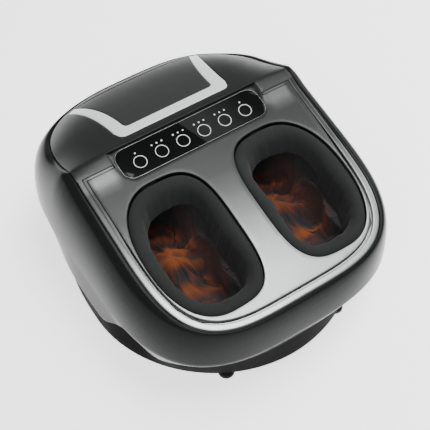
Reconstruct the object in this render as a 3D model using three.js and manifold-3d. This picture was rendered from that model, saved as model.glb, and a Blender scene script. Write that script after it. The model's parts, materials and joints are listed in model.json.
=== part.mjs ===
// A free-standing massager for two feet, with kneading heads, air bags and heat.
// Millimetres, X to the right, Y to the back, Z up, origin under the middle on the floor.
// The row of six keys is the reference: most places are measured from it.
import * as THREE from 'three';
import Module from 'manifold-3d';
import { mergeVertices } from 'three/addons/utils/BufferGeometryUtils.js';

const wasm = await Module();
wasm.setup();

// Clearances and walls
const fit = 0.4;
const wall = 3;
const overrun = 40;

// Gears of the kneading drive: their pitch places the heads, and so the feet
const gearModule = 5.25;
const headTeeth = 12;
const driveTeeth = 20;
const headPitch = headTeeth * gearModule;
const headsY = -30;
const headGap = 7;
const headRadius = (headPitch - headGap) / 2;
const footX = (headPitch + driveTeeth * gearModule) / 2;

// Foot openings in the plate
const openingHalf = 66;
const openingFrontY = -177;
const openingRearY = 14.5;
const openingInnerPower = 3.4;
const openingOuterPower = 2.3;

// Foot plate, with a tongue at the back that holds the control panel
const middleY = -15;
const plateRearY = 52;
const plateSideMargin = 3;
const plateFrontMargin = 14;
const plateOutline = {
  half: footX + openingHalf + plateSideMargin,
  front: middleY - openingFrontY + plateFrontMargin,
  rear: plateRearY - middleY,
  frontPower: 4.1,
  rearPower: 12,
};
const plateThick = 3;
const tongueMargin = 5;

// Body outlines in plan: half width, reach to the front and back of the middle, corner powers
const rimSideWidth = 15.6;
const rimFrontWidth = 15.5;
const seamOutline = {
  half: plateOutline.half + rimSideWidth,
  front: plateOutline.front + rimFrontWidth,
  rear: 232,
  frontPower: 3.8,
  rearPower: 4.2,
};
const bulgeOffset = { half: 27, front: 8.5, rear: 9, frontPower: 3.1, rearPower: 4.4 };
const hemOffset = { half: 29.4, front: -8.5, rear: -9, frontPower: 2.35, rearPower: 2.9 };
const baseOffset = { half: -3, front: 3, rear: -11, frontPower: 1.95, rearPower: 2.5 };
function offsetOutline(outline, offset) {
  const half = outline.half + offset.half;
  const front = outline.front + offset.front;
  const rear = outline.rear + offset.rear;
  return { half, front, rear, frontPower: offset.frontPower, rearPower: offset.rearPower };
}
const bulgeOutline = offsetOutline(seamOutline, bulgeOffset);
const hemOutline = offsetOutline(seamOutline, hemOffset);
const baseOutline = offsetOutline(hemOutline, baseOffset);
const roundSteps = 64;

// Heights of the body
const keysY = 45;
const keysZ = 210;
const slope = THREE.MathUtils.degToRad(12);
const crestSetback = 28;
const crestRise = 4;
const rampLength = 20;
const hoodFall = 36;
const hoodDrop = 22.9;
const hoodPower = 4;
const hoodSpread = 213;
const spreadPower = 3;
const shoulderDrop = 18;
const shoulderStart = 105;
const shoulderReach = 68;
const shoulderLength = 78;
const bulgeZ = 95;
const hemZ = 48;
const hemCurve = 1.05;

// Base tray inside the hem
const trayFoot = 7;
const trayGap = 3;
const trayOverlap = 12;

// Hand grips in the hem of the shell
const gripRise = 33;
const gripY = -83;
const gripHalf = 52;
const gripDepth = 31;

// Silver rim round the plate, and the shadow gap between them
const grooveWidth = 4;
const rimDepth = 7;
const rimEndY = 55;
const hoodThick = 6;

// Control panel and keys
const keyCount = 6;
const keyPitch = 32;
const panelEnd = 12;
const panelHalf = (keyCount * keyPitch) / 2 + panelEnd;
const tongueHalf = panelHalf + tongueMargin;
const panelDepth = 44;
const panelShift = 4.5;
const panelCorner = 15;
const panelThick = 3;
const keyRadius = 7.3;
const keyProud = 0.5;
const keyFlange = 1.4;
const keyFlangeThick = 1;
const keyTravel = 1;
const keySkirt = 1.4;
const matThick = 2;
const matRim = 4;
const boardThick = 1.6;

// Trim on the hood
const trimFrontWidth = 17;
const trimLegWidth = 18;
const trimTipWidth = 10;
const trimFrontSetback = 42;
const trimHalf = 86;
const trimTipHalf = 100;
const trimTipMargin = 12;
const trimCorner = 14;
const trimBevel = 3.5;
const trimThick = 2;

// Kneading heads and the teeth of their gears
const gearThick = 8;
const boreFit = 0.35;
const shaftRadius = 4;
const headThick = 7;
const noduleRadius = 9;
const noduleInset = 10;
const noduleOrbit = headRadius - noduleInset;
const noduleCount = 3;
const noduleZ = 54;
const hubRadius = 9;
const addendumShare = 0.9;
const dedendumShare = 1.15;
const rootShare = 0.31;
const tipShare = 0.12;

// Stack of heights inside
const footHeight = 6;
const deckZ = 27;
const deckThick = 3;
const deckHalf = 120;
const deckHalfDeep = 100;
const deckY = -28;
const deckCorner = 42;
const gearZ = 33;
const headZ = 45;
const soleZ = 66;
const soleThick = 8;

// Outer sides of the tub and the sock round each foot, from the sole up to the plate
const tubWall = 2.4;
const tubSideRoom = 20;
const tubFrontRoom = 7;
const tubRearRoom = 11;
const toeRoom = 97.5;
const tubTopMargin = 3;
const tubTopFrontMargin = 4.5;
const tubFloorHalf = headRadius + tubSideRoom;
const tubTopHalf = openingHalf + tubTopMargin;
const tubFloorFront = headsY - headPitch - headRadius - tubFrontRoom;
const tubTopFront = openingFrontY - tubTopFrontMargin;
const tubFloorRear = headsY + headPitch + headRadius + tubRearRoom;
const tubTopRear = openingRearY + toeRoom;
const tubInnerPower = 5;
const tubOuterPower = 3.2;
const tubFlareShare = 0.8;
const tubSteps = 36;
const tubFloorZ = 43;
const tubSink = 12;
const tubShares = [0, 0.4, 0.8, 1];
const sockGap = 13;
const sockThick = 6;
const collarWidth = 22;
const collarSink = 3;
const collarCrown = 3;
const collarDepth = 24;
const caveDepth = 26;
const collarFit = 0.8;
const roofShare = 0.78;
const outerSockShares = [0.4, roofShare];
const collarTopShares = [0.2, 0.6];
const innerSockShares = [0.7, 0.54, 0.38, 0.2];
const foldCount = 9;
const foldTwist = 5;
const foldDepth = 2.2;

// Everything else inside
const motorRadius = 15;
const motorLength = 66;
const gearboxHalf = 18;
const gearboxDeep = 24;
const gearboxTall = 16;
const lampLength = 46;
const lampTall = 14;
const lampThick = 4;
const lampZ = 100;
const bagThick = 7;
const bagLength = 92;
const bagTall = 46;
const bagZ = 112;
const instepDeep = 56;
const instepWide = 72;
const instepY = 54;
const pumpRadius = 19;
const pumpLength = 62;
const pumpX = 48;
const pumpSetback = 52;
const pumpY = middleY + baseOutline.rear - pumpSetback;
const nozzleRadius = 3;
const nozzleLong = 7;
const valveWidth = 46;
const valveDeep = 22;
const valveTall = 20;
const hoseRadius = 3;
const hoseInset = 20;
const hoseRise = 60;
const mainBoardWide = 92;
const mainBoardDeep = 40;
const mainBoardGap = 45;
const mainBoardY = pumpY - mainBoardGap;
const mainBoardLift = 8;
const chipWide = 11.5;
const chipDeep = 13.5;
const inletWidth = 27;
const inletTall = 20;
const inletDeep = 22;
const inletZ = 72;
const inletSetback = 3;
const inletWall = 2.5;
const socketDeep = 15;
const pinThick = 1.5;
const pinX = 5.4;
const pinTall = 5;
const rubberRadius = 11;
const rubberEdge = 1;
const rubberFrontX = 90;
const rubberRearX = 96;
const rubberFrontSetback = 31;
const rubberRearSetback = 57;
const rubberFrontY = middleY - baseOutline.front + rubberFrontSetback;
const rubberRearY = middleY + baseOutline.rear - rubberRearSetback;
const screwRadius = 3;
const screwHeadRadius = 4.5;
const screwHead = 2.5;
const screwLength = 16;
const screwX = 104;
const screwSpread = 70;
const postRadius = 8;

const rise = Math.tan(slope);
const crestY = keysY + crestSetback;
const hoodReach = middleY + bulgeOutline.rear - crestY;
const plateZ = (y) => keysZ + (y - keysY) * rise;
const crestZ = plateZ(crestY) + crestRise;

// Height of the outer skin over any point of the plan
function skinZ(x, y) {
  const outward = Math.max(0, Math.abs(x) - shoulderStart) / shoulderReach;
  const behind = THREE.MathUtils.smoothstep(y, plateRearY, plateRearY + shoulderLength);
  const shoulder = shoulderDrop * behind * outward ** 2;
  if (y <= crestY) {
    const climb = THREE.MathUtils.smoothstep(y, crestY - rampLength, crestY);
    return plateZ(y) + crestRise * climb - shoulder;
  }
  const back = (y - crestY) / hoodReach;
  const spread = back * (1 + (Math.abs(x) / hoodSpread) ** spreadPower);
  return crestZ - hoodFall * spread - hoodDrop * spread ** hoodPower - shoulder;
}

// Distance from the middle to an outline, in the direction of an angle
function reachOf(outline, angle, inset) {
  const side = Math.abs(Math.cos(angle)) / outline.half;
  const toFront = Math.sin(angle) < 0;
  const power = toFront ? outline.frontPower : outline.rearPower;
  const depth = Math.abs(Math.sin(angle)) / (toFront ? outline.front : outline.rear);
  return (side ** power + depth ** power) ** (-1 / power) - inset;
}

function outlinePoint(outline, angle, inset) {
  const reach = reachOf(outline, angle, inset);
  return new THREE.Vector2(reach * Math.cos(angle), middleY + reach * Math.sin(angle));
}

function outlinePoints(outline, inset) {
  const angles = Array.from({ length: roundSteps }, (_, i) => (i * 2 * Math.PI) / roundSteps);
  return angles.map((angle) => outlinePoint(outline, angle, inset));
}

// A closed body from points and triangles, turned so that its faces point outwards
function closedBody(points, faces) {
  let volume = 0;
  for (let i = 0; i < faces.length; i += 3) {
    const [a, b, c] = [points[faces[i]], points[faces[i + 1]], points[faces[i + 2]]];
    volume += a.dot(b.clone().cross(c));
  }
  const geometry = new THREE.BufferGeometry();
  geometry.setFromPoints(points);
  geometry.setIndex(volume < 0 ? faces.slice().reverse() : faces);
  geometry.computeVertexNormals();
  return geometry;
}

// A closed body through equal rings of points: the rings join up, or end in flat fans
function loft(rings, joined) {
  const count = rings[0].length;
  const points = rings.flat();
  const faces = [];
  const bands = joined ? rings.length : rings.length - 1;
  for (let i = 0; i < bands; i += 1) {
    const next = (i + 1) % rings.length;
    for (let j = 0; j < count; j += 1) {
      const beside = (j + 1) % count;
      const [a, b] = [i * count + j, i * count + beside];
      const [c, d] = [next * count + j, next * count + beside];
      faces.push(a, b, c, b, d, c);
    }
  }
  if (joined) return closedBody(points, faces);
  for (const [end, flip] of [[0, true], [rings.length - 1, false]]) {
    const hub = points.length;
    const centre = new THREE.Vector3();
    rings[end].forEach((point) => centre.add(point));
    points.push(centre.divideScalar(count));
    for (let j = 0; j < count; j += 1) {
      const [a, b] = [end * count + j, end * count + ((j + 1) % count)];
      faces.push(...(flip ? [hub, b, a] : [hub, a, b]));
    }
  }
  return closedBody(points, faces);
}

// A slab whose top follows a height over the plan, on a grid of lines across and along
function slab(height, thick, across, along) {
  const points = [];
  for (const drop of [0, thick]) {
    for (const y of along) {
      across.forEach((x) => points.push(new THREE.Vector3(x, y, height(x, y) - drop)));
    }
  }
  const [wide, deep] = [across.length, along.length];
  const under = wide * deep;
  const faces = [];
  for (let i = 0; i + 1 < deep; i += 1) {
    for (let j = 0; j + 1 < wide; j += 1) {
      const a = i * wide + j;
      const [b, c, d] = [a + 1, a + wide, a + wide + 1];
      faces.push(a, b, c, b, d, c);
      faces.push(a + under, c + under, b + under, b + under, c + under, d + under);
    }
  }
  const edge = [];
  for (let j = 0; j < wide; j += 1) edge.push(j);
  for (let i = 1; i < deep; i += 1) edge.push(i * wide + wide - 1);
  for (let j = wide - 2; j >= 0; j -= 1) edge.push((deep - 1) * wide + j);
  for (let i = deep - 2; i > 0; i -= 1) edge.push(i * wide);
  edge.forEach((a, i) => {
    const b = edge[(i + 1) % edge.length];
    faces.push(a, a + under, b, b, a + under, b + under);
  });
  return closedBody(points, faces);
}

function spaced(from, to, count) {
  return Array.from({ length: count + 1 }, (_, i) => from + ((to - from) * i) / count);
}

// Solids for cutting and joining
function solidOf(geometry, matrix = new THREE.Matrix4()) {
  const bare = geometry.clone();
  bare.deleteAttribute('normal');
  bare.deleteAttribute('uv');
  const merged = mergeVertices(bare.applyMatrix4(matrix));
  const vertProperties = new Float32Array(merged.attributes.position.array);
  const triVerts = new Uint32Array(merged.index.array);
  return new wasm.Manifold(new wasm.Mesh({ numProp: 3, vertProperties, triVerts }));
}

function geometryOf(solid) {
  const mesh = solid.getMesh();
  const geometry = new THREE.BufferGeometry();
  geometry.setAttribute('position', new THREE.BufferAttribute(new Float32Array(mesh.vertProperties), 3));
  geometry.setIndex(new THREE.BufferAttribute(new Uint32Array(mesh.triVerts), 1));
  geometry.computeVertexNormals();
  return geometry;
}

const moved = (x, y, z) => new THREE.Matrix4().makeTranslation(x, y, z);

// An upright prism of an outline in plan, with holes
function prism(points, from, to, holes = []) {
  const shape = new THREE.Shape(points);
  shape.holes = holes.map((hole) => new THREE.Path(hole));
  const geometry = new THREE.ExtrudeGeometry(shape, { depth: to - from, bevelEnabled: false });
  return geometry.translate(0, 0, from);
}

function cylinder(radius, from, to, sides = 20) {
  const geometry = new THREE.CylinderGeometry(radius, radius, to - from, sides);
  return geometry.rotateX(Math.PI / 2).translate(0, 0, (from + to) / 2);
}

const box = (width, deep, tall) => new THREE.BoxGeometry(width, deep, tall);

// A rounded rectangle in plan, round its own middle
function roundedPoints(halfWide, halfDeep, corner, steps = 5) {
  const points = [];
  const turns = [[1, 1], [-1, 1], [-1, -1], [1, -1]];
  turns.forEach(([sideX, sideY], quarter) => {
    for (let i = 0; i <= steps; i += 1) {
      const angle = (quarter + i / steps) * (Math.PI / 2);
      const x = sideX * (halfWide - corner) + corner * Math.cos(angle);
      points.push(new THREE.Vector2(x, sideY * (halfDeep - corner) + corner * Math.sin(angle)));
    }
  });
  return points;
}

// The body reaches further back than forward, so it moves until half its depth is at the origin
const depthMiddle = middleY + (bulgeOutline.rear - bulgeOutline.front) / 2;
const massager = new THREE.Group();
massager.position.y = -depthMiddle;
const finish = {
  gloss: { color: 0x2b2e2d, roughness: 0.18, metalness: 0 },
  hood: { color: 0x454847, roughness: 0.38, metalness: 0.2 },
  plate: { color: 0x9aa09e, roughness: 0.35, metalness: 0.6 },
  silver: { color: 0xd3dad8, roughness: 0.25, metalness: 0.7 },
  lens: { color: 0x141414, roughness: 0.08, metalness: 0 },
  base: { color: 0x1e1e1e, roughness: 0.6, metalness: 0 },
  fabric: { color: 0x2b2d2c, roughness: 0.95, metalness: 0 },
  rubber: { color: 0x161616, roughness: 0.85, metalness: 0 },
  nylon: { color: 0xd8d6cc, roughness: 0.5, metalness: 0 },
  steel: { color: 0xb0b4b6, roughness: 0.35, metalness: 0.9 },
  head: { color: 0xb4532a, roughness: 0.45, metalness: 0 },
  board: { color: 0x1f5a38, roughness: 0.5, metalness: 0 },
  heater: { color: 0xa3281a, roughness: 0.4, metalness: 0 },
  bag: { color: 0x6b6e70, roughness: 0.7, metalness: 0 },
};

function add(name, geometry, look, parent = massager) {
  const mesh = new THREE.Mesh(geometry, new THREE.MeshStandardMaterial(finish[look]));
  mesh.name = name;
  parent.add(mesh);
  return mesh;
}

// Side shell: from the seam out over the bulge and in to the hem, which rises at the grips
function gripShare(y) {
  const away = Math.min(1, Math.abs(y - gripY) / gripHalf);
  return Math.cos((away * Math.PI) / 2) ** 2;
}

function sideRing(angle, share, inset) {
  const seam = outlinePoint(seamOutline, angle, 0);
  const seamZ = skinZ(seam.x, seam.y);
  const lowestZ = hemZ + gripRise * gripShare(outlinePoint(hemOutline, angle, 0).y);
  const seamReach = reachOf(seamOutline, angle, inset);
  const bulgeReach = reachOf(bulgeOutline, angle, inset);
  const hemReach = reachOf(hemOutline, angle, inset);
  let reach = 0;
  let z = 0;
  if (share < 1) {
    const turn = (share * Math.PI) / 2;
    reach = THREE.MathUtils.lerp(seamReach, bulgeReach, Math.sin(turn));
    z = THREE.MathUtils.lerp(seamZ, bulgeZ, 1 - Math.cos(turn));
  } else {
    reach = THREE.MathUtils.lerp(bulgeReach, hemReach, (share - 1) ** hemCurve);
    z = THREE.MathUtils.lerp(bulgeZ, lowestZ, share - 1);
  }
  return new THREE.Vector3(reach * Math.cos(angle), middleY + reach * Math.sin(angle), z);
}

function allRound(pointAt) {
  return Array.from({ length: roundSteps }, (_, i) => pointAt((i * 2 * Math.PI) / roundSteps));
}

const outerShares = [0, 0.3, 0.6, 0.9, 1.25, 1.6, 2];
const innerShares = [2, 1.5, 1, 0.5, 0];
const shellRings = [
  ...outerShares.map((share) => allRound((angle) => sideRing(angle, share, 0))),
  ...innerShares.map((share) => allRound((angle) => sideRing(angle, share, wall))),
];

const inletFaceY = middleY + bulgeOutline.rear - inletSetback;
const inletCut = box(inletWidth + 2 * fit, overrun, inletTall + 2 * fit);
const inletHole = solidOf(inletCut, moved(0, inletFaceY, inletZ));
add('body_shell', geometryOf(solidOf(loft(shellRings, true)).subtract(inletHole)), 'gloss');

// Base tray: a flat floor, sides that follow the hem inside the shell, set in at the grips
function trayPoint(angle, level, inset) {
  const hem = outlinePoint(hemOutline, angle, 0);
  const grip = gripShare(hem.y);
  const lowReach = reachOf(baseOutline, angle, inset + trayFoot * level.foot);
  const topReach = reachOf(hemOutline, angle, inset + wall + trayGap) - gripDepth * grip;
  const reach = THREE.MathUtils.lerp(lowReach, topReach, level.topShare);
  const z = level.z + level.topShare * (trayOverlap + gripRise * grip);
  return new THREE.Vector3(reach * Math.cos(angle), middleY + reach * Math.sin(angle), z);
}

const trayLevels = [
  { z: footHeight, foot: 1, topShare: 0 },
  { z: footHeight + trayFoot, foot: 0, topShare: 0 },
  { z: hemZ, foot: 0, topShare: 1 },
];
const trayInside = [trayLevels[2], trayLevels[1], { z: footHeight + wall, foot: 1, topShare: 0 }];
const trayRings = [
  ...trayLevels.map((level) => allRound((angle) => trayPoint(angle, level, 0))),
  ...trayInside.map((level) => allRound((angle) => trayPoint(angle, level, wall))),
];
const corners = [[-1, -1], [1, -1], [-1, 1], [1, 1]];
let tray = solidOf(loft(trayRings, false));
const screwPlaces = corners.map(([sideX, sideY]) => [sideX * screwX, deckY + sideY * screwSpread]);
screwPlaces.forEach(([x, y]) => {
  tray = tray.subtract(solidOf(cylinder(screwRadius + fit, 0, footHeight + 2 * wall), moved(x, y, 0)));
});
add('base_tray', geometryOf(tray), 'base');

const rubberTop = footHeight - fit;
corners.forEach(([sideX, sideY]) => {
  const [x, y] = sideY < 0 ? [rubberFrontX, rubberFrontY] : [rubberRearX, rubberRearY];
  const outline = [
    [0, 0],
    [rubberRadius - rubberEdge, 0],
    [rubberRadius, rubberEdge],
    [rubberRadius, rubberTop],
    [0, rubberTop],
  ].map(([r, z]) => new THREE.Vector2(r, z));
  const pad = add(
    `rubber_foot_${sideY < 0 ? 'front' : 'rear'}_${sideX < 0 ? 'left' : 'right'}`,
    new THREE.LatheGeometry(outline, 16).rotateX(Math.PI / 2),
    'rubber',
  );
  pad.position.set(sideX * x, y, 0);
});

// Skins that follow the height of the hood and the plate
const skinAcross = spaced(-seamOutline.half, seamOutline.half, 10);
const flatAlong = [middleY - seamOutline.front, crestY - rampLength, crestY - rampLength / 2];
const skinAlong = [...flatAlong, ...spaced(crestY, crestY + hoodReach, 9)];
const skinSolid = (lift, thick) => {
  const height = (x, y) => skinZ(x, y) + lift;
  return solidOf(slab(height, thick, skinAcross, skinAlong));
};
const upright = (points, holes = []) => solidOf(prism(points, 0, crestZ + overrun, holes));

// Outline of the plate in plan: a round front, straight sides and the tongue at the back
function platePoints(grow) {
  const front = [];
  for (let i = roundSteps / 2; i <= roundSteps; i += 1) {
    front.push(outlinePoint(plateOutline, (i * 2 * Math.PI) / roundSteps, -grow));
  }
  const [side, tongue] = [plateOutline.half + grow, tongueHalf + grow];
  const [low, high] = [plateRearY + grow, crestY + grow];
  const rear = [[side, low], [tongue, low], [tongue, high], [-tongue, high], [-tongue, low], [-side, low]];
  return [...front, ...rear.map(([x, y]) => new THREE.Vector2(x, y))];
}

const insideSeam = upright(outlinePoints(seamOutline, wall + fit));
const hoodBlank = skinSolid(0, hoodThick).intersect(insideSeam);
const wideBox = box(2 * bulgeOutline.half, 2 * bulgeOutline.rear, 2 * crestZ + 2 * overrun);
const frontOf = (y) => solidOf(wideBox, moved(0, y - bulgeOutline.rear, 0));
const plateHole = upright(platePoints(fit));

// Trim on the hood: a front bar with two legs that lean outwards to the back
const trimFrontY = keysY + trimFrontSetback;
const trimTipY = middleY + seamOutline.rear - trimTipMargin;
function trimPoints(grow) {
  const outer = [
    [trimHalf - trimCorner, trimFrontY - grow],
    [trimHalf - trimBevel, trimFrontY + trimBevel - grow],
    [trimHalf + grow, trimFrontY + trimCorner],
    [trimTipHalf + grow, trimTipY + grow],
  ];
  const backY = trimFrontY + trimFrontWidth + grow;
  const inner = [
    [trimTipHalf - trimTipWidth - grow, trimTipY + grow],
    [trimHalf - trimLegWidth - grow, backY + trimCorner / 2],
    [trimHalf - trimLegWidth - trimCorner / 2 - grow, backY],
  ];
  const right = [...outer, ...inner];
  const left = right.map(([x, y]) => [-x, y]).reverse();
  return [...right, ...left].map(([x, y]) => new THREE.Vector2(x, y));
}

function inlayPoints(shrink) {
  const frontY = trimFrontY + trimFrontWidth + shrink;
  const half = trimHalf - trimLegWidth - shrink;
  const tip = trimTipHalf - trimTipWidth - shrink;
  const right = [[half - trimCorner / 2, frontY], [half, frontY + trimCorner / 2], [tip, trimTipY]];
  const left = right.map(([x, y]) => [-x, y]).reverse();
  return [...right, ...left].map(([x, y]) => new THREE.Vector2(x, y));
}

const trimGroove = skinSolid(overrun, overrun + trimThick + fit).intersect(upright(trimPoints(fit)));
const inlayGroove = skinSolid(overrun, overrun + trimThick + fit).intersect(upright(inlayPoints(0)));
const hoodFront = frontOf(rimEndY);
const hood = hoodBlank.subtract(plateHole).subtract(hoodFront).subtract(trimGroove).subtract(inlayGroove);
add('top_hood', geometryOf(hood), 'hood');
const trimSkin = skinSolid(0, trimThick).intersect(insideSeam);
add('chevron_trim', geometryOf(trimSkin.intersect(upright(trimPoints(0)))), 'silver');
add('rear_inlay', geometryOf(trimSkin.intersect(upright(inlayPoints(fit)))), 'hood');

// Rim: a ring between the shadow gap round the plate and the shell
const rimBlank = skinSolid(0, rimDepth).intersect(insideSeam);
const rim = rimBlank.subtract(upright(platePoints(grooveWidth))).intersect(frontOf(rimEndY - fit));
add('rim_trim', geometryOf(rim), 'silver');

// Foot openings, rounder on their outer side than between the feet
const openingY = (openingFrontY + openingRearY) / 2;
const openingLong = (openingRearY - openingFrontY) / 2;
function openingPoint(side, angle, inset) {
  const outward = side * Math.cos(angle) > 0;
  const power = outward ? openingOuterPower : openingInnerPower;
  const across = Math.abs(Math.cos(angle)) / openingHalf;
  const along = Math.abs(Math.sin(angle)) / openingLong;
  const reach = (across ** power + along ** power) ** (-1 / power) - inset;
  return new THREE.Vector2(side * footX + reach * Math.cos(angle), openingY + reach * Math.sin(angle));
}

function ringAngles(count) {
  return Array.from({ length: count }, (_, i) => (i * 2 * Math.PI) / count);
}
const openings = [-1, 1].map((side) => ringAngles(tubSteps).map((angle) => openingPoint(side, angle, 0)));

// Control panel: a thin gloss lens let into the plate over a rubber mat and its board
const panel = new THREE.Group();
panel.position.set(0, keysY, keysZ);
panel.rotation.x = slope;
massager.add(panel);
panel.updateMatrix();
const panelMatrix = panel.matrix;
const panelPrism = (grow, from, to) => {
  const points = roundedPoints(panelHalf + grow, panelDepth / 2 + grow, panelCorner + grow);
  return prism(points, from, to).translate(0, panelShift, 0);
};
const plane = (x, y) => plateZ(y);
const plateAlong = [middleY - seamOutline.front, crestY + overrun];
const plateBlank = solidOf(slab(plane, plateThick, [-seamOutline.half, seamOutline.half], plateAlong));
let plate = plateBlank.intersect(upright(platePoints(0), openings));
plate = plate.subtract(solidOf(panelPrism(fit, -overrun, overrun), panelMatrix));
add('foot_plate', geometryOf(plate), 'plate');

const keyX = Array.from({ length: keyCount }, (_, i) => (i - (keyCount - 1) / 2) * keyPitch);
let lens = solidOf(panelPrism(0, -panelThick, 0));
keyX.forEach((x) => {
  lens = lens.subtract(solidOf(cylinder(keyRadius + fit, -overrun, overrun, 16), moved(x, 0, 0)));
});
add('control_lens', geometryOf(lens), 'lens', panel);

const flangeTop = -panelThick - fit;
const keyBottom = flangeTop - keyFlangeThick - keySkirt;
keyX.forEach((x, i) => {
  const outline = [
    [0, keyBottom],
    [keyRadius, keyBottom],
    [keyRadius + keyFlange, flangeTop - keyFlangeThick],
    [keyRadius + keyFlange, flangeTop],
    [keyRadius, flangeTop],
    [keyRadius, keyProud],
    [0, keyProud],
  ].map(([r, z]) => new THREE.Vector2(r, z));
  const key = new THREE.LatheGeometry(outline, 16).rotateX(Math.PI / 2);
  add(`button_${i + 1}`, key, 'lens', panel).position.x = x;
});
const matTop = keyBottom - keyTravel - fit;
const matSheet = solidOf(panelPrism(-fit, matTop - matThick, matTop));
const matHollow = solidOf(panelPrism(-matRim, matTop, overrun));
const matRing = solidOf(panelPrism(-fit, matTop - matThick, flangeTop)).subtract(matHollow);
add('key_mat', geometryOf(matSheet.add(matRing)), 'rubber', panel);
const boardTop = matTop - matThick - fit;
add('control_board', panelPrism(-fit, boardTop - boardThick, boardTop), 'board', panel);

// Kneading drive: one central gear turns the arch gears, which turn the heel and toe gears
function gearPoints(teeth, phase) {
  const pitchRadius = (teeth * gearModule) / 2;
  const [tip, root] = [pitchRadius + addendumShare * gearModule, pitchRadius - dedendumShare * gearModule];
  const flank = [[root, -rootShare], [tip, -tipShare], [tip, tipShare], [root, rootShare]];
  const turn = (2 * Math.PI) / teeth;
  const points = [];
  for (let i = 0; i < teeth; i += 1) {
    flank.forEach(([radius, share]) => {
      const angle = phase + (i + share) * turn;
      points.push(new THREE.Vector2(radius * Math.cos(angle), radius * Math.sin(angle)));
    });
  }
  return points;
}

const hubBottom = deckZ + deckThick + fit;
const hubTop = headZ - fit;
const bore = shaftRadius + boreFit;
function gearSolid(teeth, phase) {
  const toothed = solidOf(prism(gearPoints(teeth, phase), gearZ, gearZ + gearThick));
  const hub = solidOf(cylinder(hubRadius, hubBottom, hubTop, 12));
  return toothed.add(hub).subtract(solidOf(cylinder(bore, 0, headZ, 8)));
}

const headNames = { heel: -1, arch: 0, toe: 1 };
const headPlaces = [];
['left', 'right'].forEach((side) => {
  Object.entries(headNames).forEach(([name, step]) => {
    const x = (side === 'left' ? -1 : 1) * footX;
    headPlaces.push({ name: `${side}_${name}`, x, y: headsY + step * headPitch, half: step === 0 });
  });
});

const shaftBottom = deckZ - shaftRadius;
const discOutline = [
  [0, shaftBottom],
  [shaftRadius, shaftBottom],
  [shaftRadius, headZ],
  [headRadius, headZ],
  [headRadius, headZ + headThick / 2],
  [headRadius - headThick / 2, headZ + headThick],
  [0, headZ + headThick],
].map(([r, z]) => new THREE.Vector2(r, z));
let head = solidOf(new THREE.LatheGeometry(discOutline, 16).rotateX(Math.PI / 2));
ringAngles(noduleCount).forEach((angle) => {
  const [x, y] = [noduleOrbit * Math.cos(angle), noduleOrbit * Math.sin(angle)];
  const nodule = new THREE.SphereGeometry(noduleRadius, 10, 6).rotateX(Math.PI / 2);
  head = head.add(solidOf(nodule, moved(x, y, noduleZ)));
});

headPlaces.forEach(({ name, x, y, half }) => {
  const phase = half ? Math.PI / headTeeth : 0;
  add(`head_gear_${name}`, geometryOf(gearSolid(headTeeth, phase)), 'nylon').position.set(x, y, 0);
  add(`massage_head_${name}`, geometryOf(head), 'head').position.set(x, y, 0);
});

add('drive_gear', geometryOf(gearSolid(driveTeeth, 0)), 'nylon').position.set(0, headsY, 0);
const driveTop = headZ + gearboxTall / 2;
add('drive_shaft', cylinder(shaftRadius, shaftBottom, driveTop), 'steel').position.set(0, headsY, 0);

const gearboxZ = headZ + gearboxTall / 2;
let gearbox = solidOf(box(2 * gearboxHalf, gearboxDeep, gearboxTall), moved(0, 0, gearboxZ));
gearbox = gearbox.subtract(solidOf(cylinder(bore, 0, driveTop + fit, 12)));
add('drive_gearbox', geometryOf(gearbox), 'nylon').position.set(0, headsY, 0);
const motorBottom = headZ + gearboxTall + fit;
const motorOutline = [
  [0, motorBottom],
  [motorRadius, motorBottom],
  [motorRadius, motorBottom + motorLength - motorRadius / 4],
  [motorRadius - motorRadius / 4, motorBottom + motorLength],
  [0, motorBottom + motorLength],
].map(([r, z]) => new THREE.Vector2(r, z));
const motor = new THREE.LatheGeometry(motorOutline, 24).rotateX(Math.PI / 2);
add('drive_motor', motor, 'steel').position.set(0, headsY, 0);

// Deck on four posts over the floor of the tray
const trayFloor = footHeight + wall + fit;
const deckPoints = roundedPoints(deckHalf, deckHalfDeep, deckCorner);
let deck = solidOf(prism(deckPoints, deckZ, deckZ + deckThick), moved(0, deckY, 0));
const deckPost = cylinder(postRadius, trayFloor, deckZ + deckThick / 2, 12);
const deckBore = cylinder(screwRadius + boreFit, 0, footHeight + screwLength, 12);
screwPlaces.forEach(([x, y]) => {
  deck = deck.add(solidOf(deckPost, moved(x, y, 0)));
  deck = deck.subtract(solidOf(deckBore, moved(x, y, 0)));
});
[...headPlaces, { x: 0, y: headsY }].forEach(({ x, y }) => {
  deck = deck.subtract(solidOf(cylinder(bore, 0, headZ, 12), moved(x, y, 0)));
});
add('gear_deck', geometryOf(deck), 'nylon');

screwPlaces.forEach(([x, y], i) => {
  const top = footHeight - fit;
  const outline = [
    [0, top - screwHead],
    [screwHeadRadius, top - screwHead],
    [screwHeadRadius, top],
    [screwRadius, top],
    [screwRadius, top + screwLength],
    [0, top + screwLength],
  ].map(([r, z]) => new THREE.Vector2(r, z));
  const screw = new THREE.LatheGeometry(outline, 10).rotateX(Math.PI / 2);
  add(`base_screw_${i + 1}`, screw, 'steel').position.set(x, y, 0);
});

// Tub round each foot: narrow at the floor, wider at the plate, with a toe cave under the hood
function tubPoint(side, angle, share, inset, z) {
  const flare = Math.min(1, share / tubFlareShare);
  const half = THREE.MathUtils.lerp(tubFloorHalf, tubTopHalf, flare);
  const front = THREE.MathUtils.lerp(tubFloorFront, tubTopFront, flare);
  const rear = THREE.MathUtils.lerp(tubFloorRear, tubTopRear, share);
  const across = Math.abs(Math.cos(angle)) / half;
  const along = Math.abs(Math.sin(angle)) / ((rear - front) / 2);
  const power = side * Math.cos(angle) > 0 ? tubOuterPower : tubInnerPower;
  const reach = (across ** power + along ** power) ** (-1 / power) - inset;
  const y = (rear + front) / 2 + reach * Math.sin(angle);
  return new THREE.Vector3(side * footX + reach * Math.cos(angle), y, z(y));
}

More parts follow.
